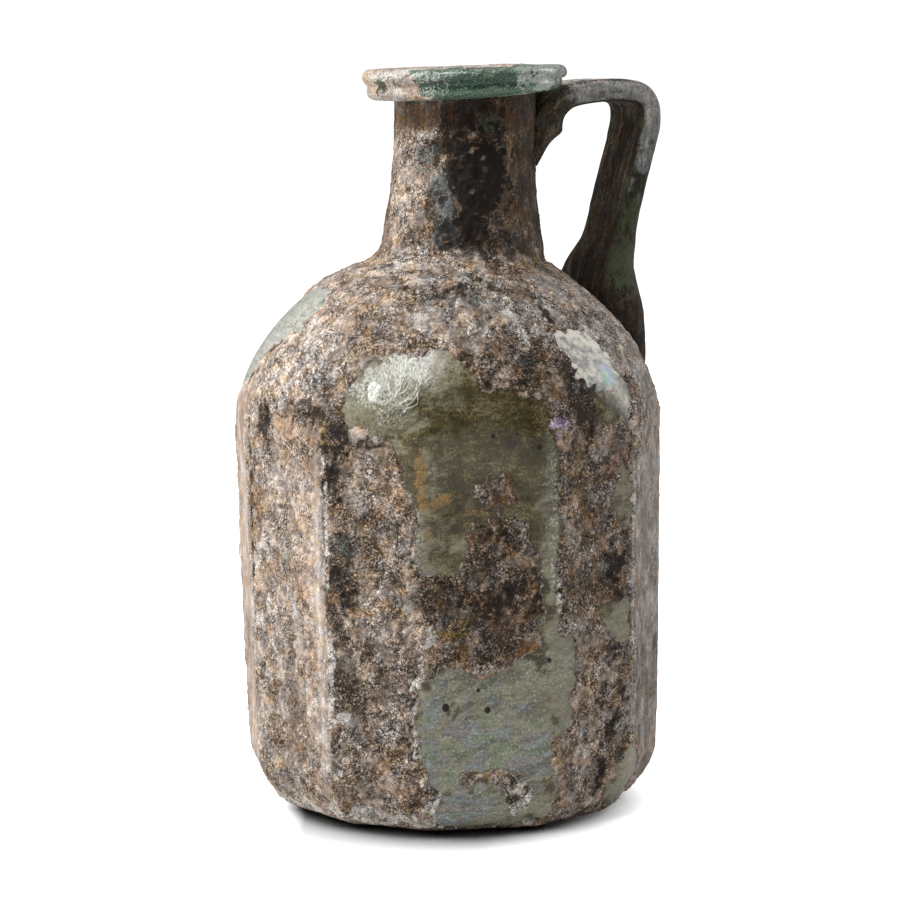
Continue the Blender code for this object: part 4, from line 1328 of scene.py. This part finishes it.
class JUG_OT_lining(bpy.types.Operator):
    """Lines the bore and the hollow with thin clay, and covers the underside"""

    bl_idname = "jug.lining"
    bl_label = "Lining and underside"

    def execute(self, context):
        angle, level, points = grid_in_hollow(1.3, all_round(1.5), LINING)
        fields = crust_fields(points, angle, level)
        fields["hollow"] = 0 * level
        fields["cover"] = np.clip(0.35 + 0.4 * noise(points, 6, 121, 3), 0, 1)
        quads = quads_of(*angle.shape)
        covered = (clearing(points, angle, level).ravel()[quads] < -1.5).any(axis=1)
        crust_piece("lining", points, quads[covered], fields)
        self.underside()
        return {"FINISHED"}

    @staticmethod
    def underside():
        """The thin crust under the foot, which thins out towards the ring that the jug stands on."""
        angle, z, place = grid_on(spaced(foot_line(), 1.2), all_round(2.5))
        fields = crust_fields(place, angle, z)
        fields["cover"] = np.clip(0.6 + 0.4 * noise(place, 5, 131, 3), 0, 1)
        fields["hollow"] = 0.5 * noise(place, 3, 132, 2)
        depth = np.minimum(0.3 + 0.12 * noise(place, 2.5, 133, 2), 0.9 * z)
        points = place - np.stack([0 * z, 0 * z, depth], axis=-1)
        crust_piece("underside_crust", points, quads_of(*angle.shape), fields, end_caps(*angle.shape)[:1])


class JUG_OT_flakes(bpy.types.Operator):
    """Adds the pearly flake and the dried film on the shoulder, and the filled pits in the glass"""

    bl_idname = "jug.flakes"
    bl_label = "Flakes and pits"

    def execute(self, context):
        self.pearl()
        line = body_line()
        strips = [
            self.strip(line, np.array(loop), strand)
            for loop, strand in itertools.product(DRIED_LOOPS, range(DRIED_STRANDS))
        ]
        points, quads, caps = joined(strips, [self.blob(line)])
        mesh_piece("dried_film", points, quads, dried_film(), caps=caps)
        points, quads, caps = joined([], self.pits())
        mesh_piece("pits", points, quads, pit_filling(), caps=caps)
        return {"FINISHED"}

    @staticmethod
    def strip(line, loop, strand):
        """One wandering strand of a loop of dried film, four points across."""
        path = through(loop, 14 * len(loop))
        bend = np.append(path, path[:, :1], axis=1)
        path = path + 0.7 * np.stack([noise(bend, 4, seed + strand, 2) for seed in (150, 160)], axis=1)
        angle, level = path.T
        place = outside(angle, radius_at(line, level), level)
        across = np.gradient(path * (MM_PER_DEGREE, 1), axis=0)[:, ::-1] * (-1, 1)
        across /= np.linalg.norm(across, axis=1, keepdims=True)
        half = 0.5 * DRIED_WIDTH * (0.55 + 0.8 * np.abs(noise(place, 1.1, 151)))[:, None]
        rows = []
        for side, lift in ((-1.0, -0.02), (-0.4, 0.07), (0.4, 0.07), (1.0, -0.02)):
            angle, level = (path + side * half * across / (MM_PER_DEGREE, 1)).T
            rows.append(outside(angle, radius_at(line, level) + lift, level))
        return np.stack(rows, axis=1)

    @staticmethod
    def blob(line):
        """The round blob of dried film at the loops' end, ring by ring inwards."""
        turn = np.linspace(0, 2 * math.pi, 24, endpoint=False)[None, :]
        ring, lift = np.array(BLOB_RINGS).T[..., None]
        angle, level, across, up = DRIED_BLOB
        ragged = 1 + 0.08 * np.sin(3 * turn + 1) + 0.05 * np.sin(5 * turn)
        angle = angle + across * ragged * ring * np.cos(turn) / MM_PER_DEGREE
        level = level + up * ragged * ring * np.sin(turn)
        return outside(angle, radius_at(line, level) + lift, level)

    @staticmethod
    def pearl():
        """The pearly flake, lifted off the glass along its lower edge."""
        angle, z, place = grid_on(spaced(shoulder_line(), 0.5), np.arange(14, 56, 0.5))
        ragged = 0.8 * noise(place, 3, 141, 3)
        across = angle * MM_PER_DEGREE
        within = inside(WINDOWS["right shoulder"], across + ragged, z - ragged) + 0.8
        within = np.minimum(within, inside(FLAKE_LOWER, across, z + ragged))
        lift = 0.1 + 0.22 * ease(1.5, 0, within) + 0.05 * noise(place, 2, 142)
        lift = np.where(within > 0, lift, -0.2)
        normal = np.cross(np.gradient(place, axis=1), np.gradient(place, axis=0))
        normal /= np.linalg.norm(normal, axis=-1, keepdims=True)
        quads = quads_of(*angle.shape, wrap=False)
        shown = (within.ravel()[quads] > 0).any(axis=1)
        edge = ease(1.8, 0.5, within + 1.6 * noise(place, 3, 143, 3)) * ease(110, 115, z)
        away = np.hypot((angle - PEARL_MIDDLE[0]) * MM_PER_DEGREE, z - PEARL_MIDDLE[1])
        fields = {"edge": edge, "pearl": ease(4, 1.5, away)}
        mesh_piece("pearly_flake", place + normal * lift[..., None], quads[shown], pearly_flake(), fields)

    @staticmethod
    def pits():
        """A low dome of four rings for each pit, laid on the glass."""
        turn = np.linspace(0, 2 * math.pi, 16, endpoint=False)
        line = np.concatenate([heel_line(), body_line(), neck_line(), rim_line()[:60]])
        domes = []
        for angle, level, size in PITS:
            radius = radius_at(line, level)
            steps = [(angle, level), (angle + 1, level), (angle, level + 1)]
            near, beside, above = (outside(np.array(a), radius, np.array(z)) for a, z in steps)
            right, up = beside - near, above - near
            out = np.cross(right, up)
            right, up, out = (v / np.linalg.norm(v) for v in (right, up, out))
            ring = np.cos(turn)[:, None] * right + 1.15 * np.sin(turn)[:, None] * up
            rings = [near + size * share * ring + out * rise * size for share, rise in PIT_RINGS]
            domes.append(np.array(rings))
        return domes


class JUG_OT_stage(bpy.types.Operator):
    """Sets up the floor, the soft studio light and the camera"""

    bl_idname = "jug.stage"
    bl_label = "Studio"

    def execute(self, context):
        studio = context.scene.jug_studio
        self.floor()
        self.light(studio)
        self.camera(studio)
        return {"FINISHED"}

    @staticmethod
    def floor():
        """White paper that glows evenly, and is darker where the jug stands near it and shuts it in."""
        signs = ((-1, -1), (1, -1), (1, 1), (-1, 1))
        corners = [(x * FLOOR_HALF, y * FLOOR_HALF, -FLOOR_DROP) for x, y in signs]
        mesh = bpy.data.meshes.new("floor")
        mesh.from_pydata(corners, [], [(0, 1, 2, 3)])
        floor = bpy.data.objects.new("floor", mesh)
        bpy.context.scene.collection.objects.link(floor)
        material = bpy.data.materials.new("white studio paper")
        material.use_nodes = True
        tree = material.node_tree
        lit_from = node(tree, "CombineXYZ", {0: 0.08, 1: 0.6, 2: 0.8})
        shut_in = {"Distance": SHADOW_REACH, "Normal": lit_from}
        openness = node(tree, "AmbientOcclusion", shut_in, out="AO")
        place = node(tree, "TexCoord", out="Object")
        along = (math.cos(SHADOW_TURN), math.sin(SHADOW_TURN), 0)
        side = node(tree, "VectorMath", {0: place, 1: along}, out="Value", operation="DOT_PRODUCT")
        # Painted shadow: the shade under the jug is lightened to its left and far to its right, by place
        # along SHADOW_TURN
        for start, end, lighter in ((-37 * MM, -46 * MM, 0.5), (6 * MM, 56 * MM, 0.4)):
            lift = {"Value": side, "From Min": start, "From Max": end, "To Max": lighter}
            lift = node(tree, "MapRange", lift)
            openness = node(tree, "Math", {0: openness, 1: lift}, operation="ADD")
        glow = node(tree, "MapRange", {"Value": openness, "From Min": 0.3, "From Max": 0.92})
        # The paper's colour seen by the camera darkens in the same painted shadow
        seen = node(tree, "LightPath", out="Is Camera Ray")
        shade = node(tree, "MapRange", {"Value": glow, "To Min": 0.02, "To Max": 0.8})
        paper = {FACTOR: seen, A: colour("#f4f4f4"), B: shade}
        paper = node(tree, "Mix", paper, out=RESULT, data_type="RGBA")
        glow = node(tree, "Math", {0: glow, 1: seen}, operation="MULTIPLY")
        shader = tree.nodes["Principled BSDF"]
        fill(shader, {"Base Color": paper, "Emission Strength": glow, "Emission Color": (1, 1, 1, 1)})
        fill(shader, {"Roughness": 0.9, "Specular IOR Level": 0.0})
        mesh.materials.append(material)

    @staticmethod
    def light(studio):
        """A white room with three soft lights, each at a turn from the camera, to its right if positive."""
        scene = bpy.context.scene
        world = bpy.data.worlds.new("white studio")
        scene.world = world
        world.use_nodes = True
        tree = world.node_tree
        seen = node(tree, "LightPath", out="Is Camera Ray")
        through_glass = seen.node.outputs["Is Transmission Ray"]
        seen = node(tree, "Math", {0: seen, 1: through_glass}, operation="MAXIMUM")
        strength = node(tree, "MapRange", {"Value": seen, "To Min": studio.room, "To Max": 1.05})
        fill(tree.nodes["Background"], {"Strength": strength, "Color": (1, 1, 1, 1)})
        for name, turn, rise, across, up, power in (
            ("left softbox", -80, 30, 0.6, 0.9, studio.left),
            ("top softbox", -28, 60, 0.5, 0.5, studio.top),
            ("right strip", 112, 22, 0.3, 0.9, studio.right),
        ):
            data = bpy.data.lights.new(name, "AREA")
            data.shape = "RECTANGLE"
            data.size = across
            data.size_y = up
            data.energy = power
            light = bpy.data.objects.new(name, data)
            angle, rise = studio.camera_turn + math.radians(turn), math.radians(rise)
            x = LIGHT_REACH * math.cos(angle) * math.cos(rise)
            y = LIGHT_REACH * math.sin(angle) * math.cos(rise)
            aim(light, (x, y, LIGHT_AIM + LIGHT_REACH * math.sin(rise)), (0, 0, LIGHT_AIM))
            scene.collection.objects.link(light)
        scene.view_settings.view_transform = "Standard"

    @staticmethod
    def camera(studio):
        """The camera, aimed a little left of the jug's axis at the middle of its height."""
        turn, distance = studio.camera_turn, studio.camera_distance
        place = (distance * math.cos(turn), distance * math.sin(turn), studio.camera_height)
        data = bpy.data.cameras.new("camera")
        data.lens = studio.lens
        data.sensor_width = 36
        camera = bpy.data.objects.new("camera", data)
        bpy.context.scene.collection.objects.link(camera)
        aim(camera, place, (AIM_LEFT * math.sin(turn), -AIM_LEFT * math.cos(turn), AIM_HEIGHT))
        bpy.context.scene.camera = camera


def aim(thing, place, target):
    """Puts a camera or a light at a place, pointing at a target."""
    direction = mathutils.Vector(target) - mathutils.Vector(place)
    thing.location = place
    thing.rotation_euler = direction.to_track_quat("-Z", "Y").to_euler()


class JUG_PT_panel(bpy.types.Panel):
    """Lists the jug's pieces and settings"""

    bl_label = "Glass Jug"
    bl_idname = "JUG_PT_panel"
    bl_space_type = "VIEW_3D"
    bl_region_type = "UI"
    bl_category = "Glass Jug"

    def draw(self, context):
        for operator in OPERATORS:
            self.layout.operator(operator.bl_idname)
        for group in (context.scene.jug_sizes, context.scene.jug_colours, context.scene.jug_studio):
            for name in group.__annotations__:
                self.layout.prop(group, name)


OPERATORS = (
    JUG_OT_glass,
    JUG_OT_body_crust,
    JUG_OT_neck_crust,
    JUG_OT_handle,
    JUG_OT_lining,
    JUG_OT_flakes,
    JUG_OT_stage,
)
GROUPS = {"jug_sizes": JugSizes, "jug_colours": JugColours, "jug_studio": StudioSettings}


def register():
    for made in (*GROUPS.values(), *OPERATORS, JUG_PT_panel):
        bpy.utils.register_class(made)
    for name, group in GROUPS.items():
        setattr(bpy.types.Scene, name, bpy.props.PointerProperty(type=group))


def unregister():
    for name in GROUPS:
        delattr(bpy.types.Scene, name)
    for made in (JUG_PT_panel, *reversed(OPERATORS), *reversed(GROUPS.values())):
        bpy.utils.unregister_class(made)


def main():
    """Builds every piece in order."""
    register()
    for operator in OPERATORS:
        space, name = operator.bl_idname.split(".")
        getattr(getattr(bpy.ops, space), name)()


if __name__ == "__main__":
    main()
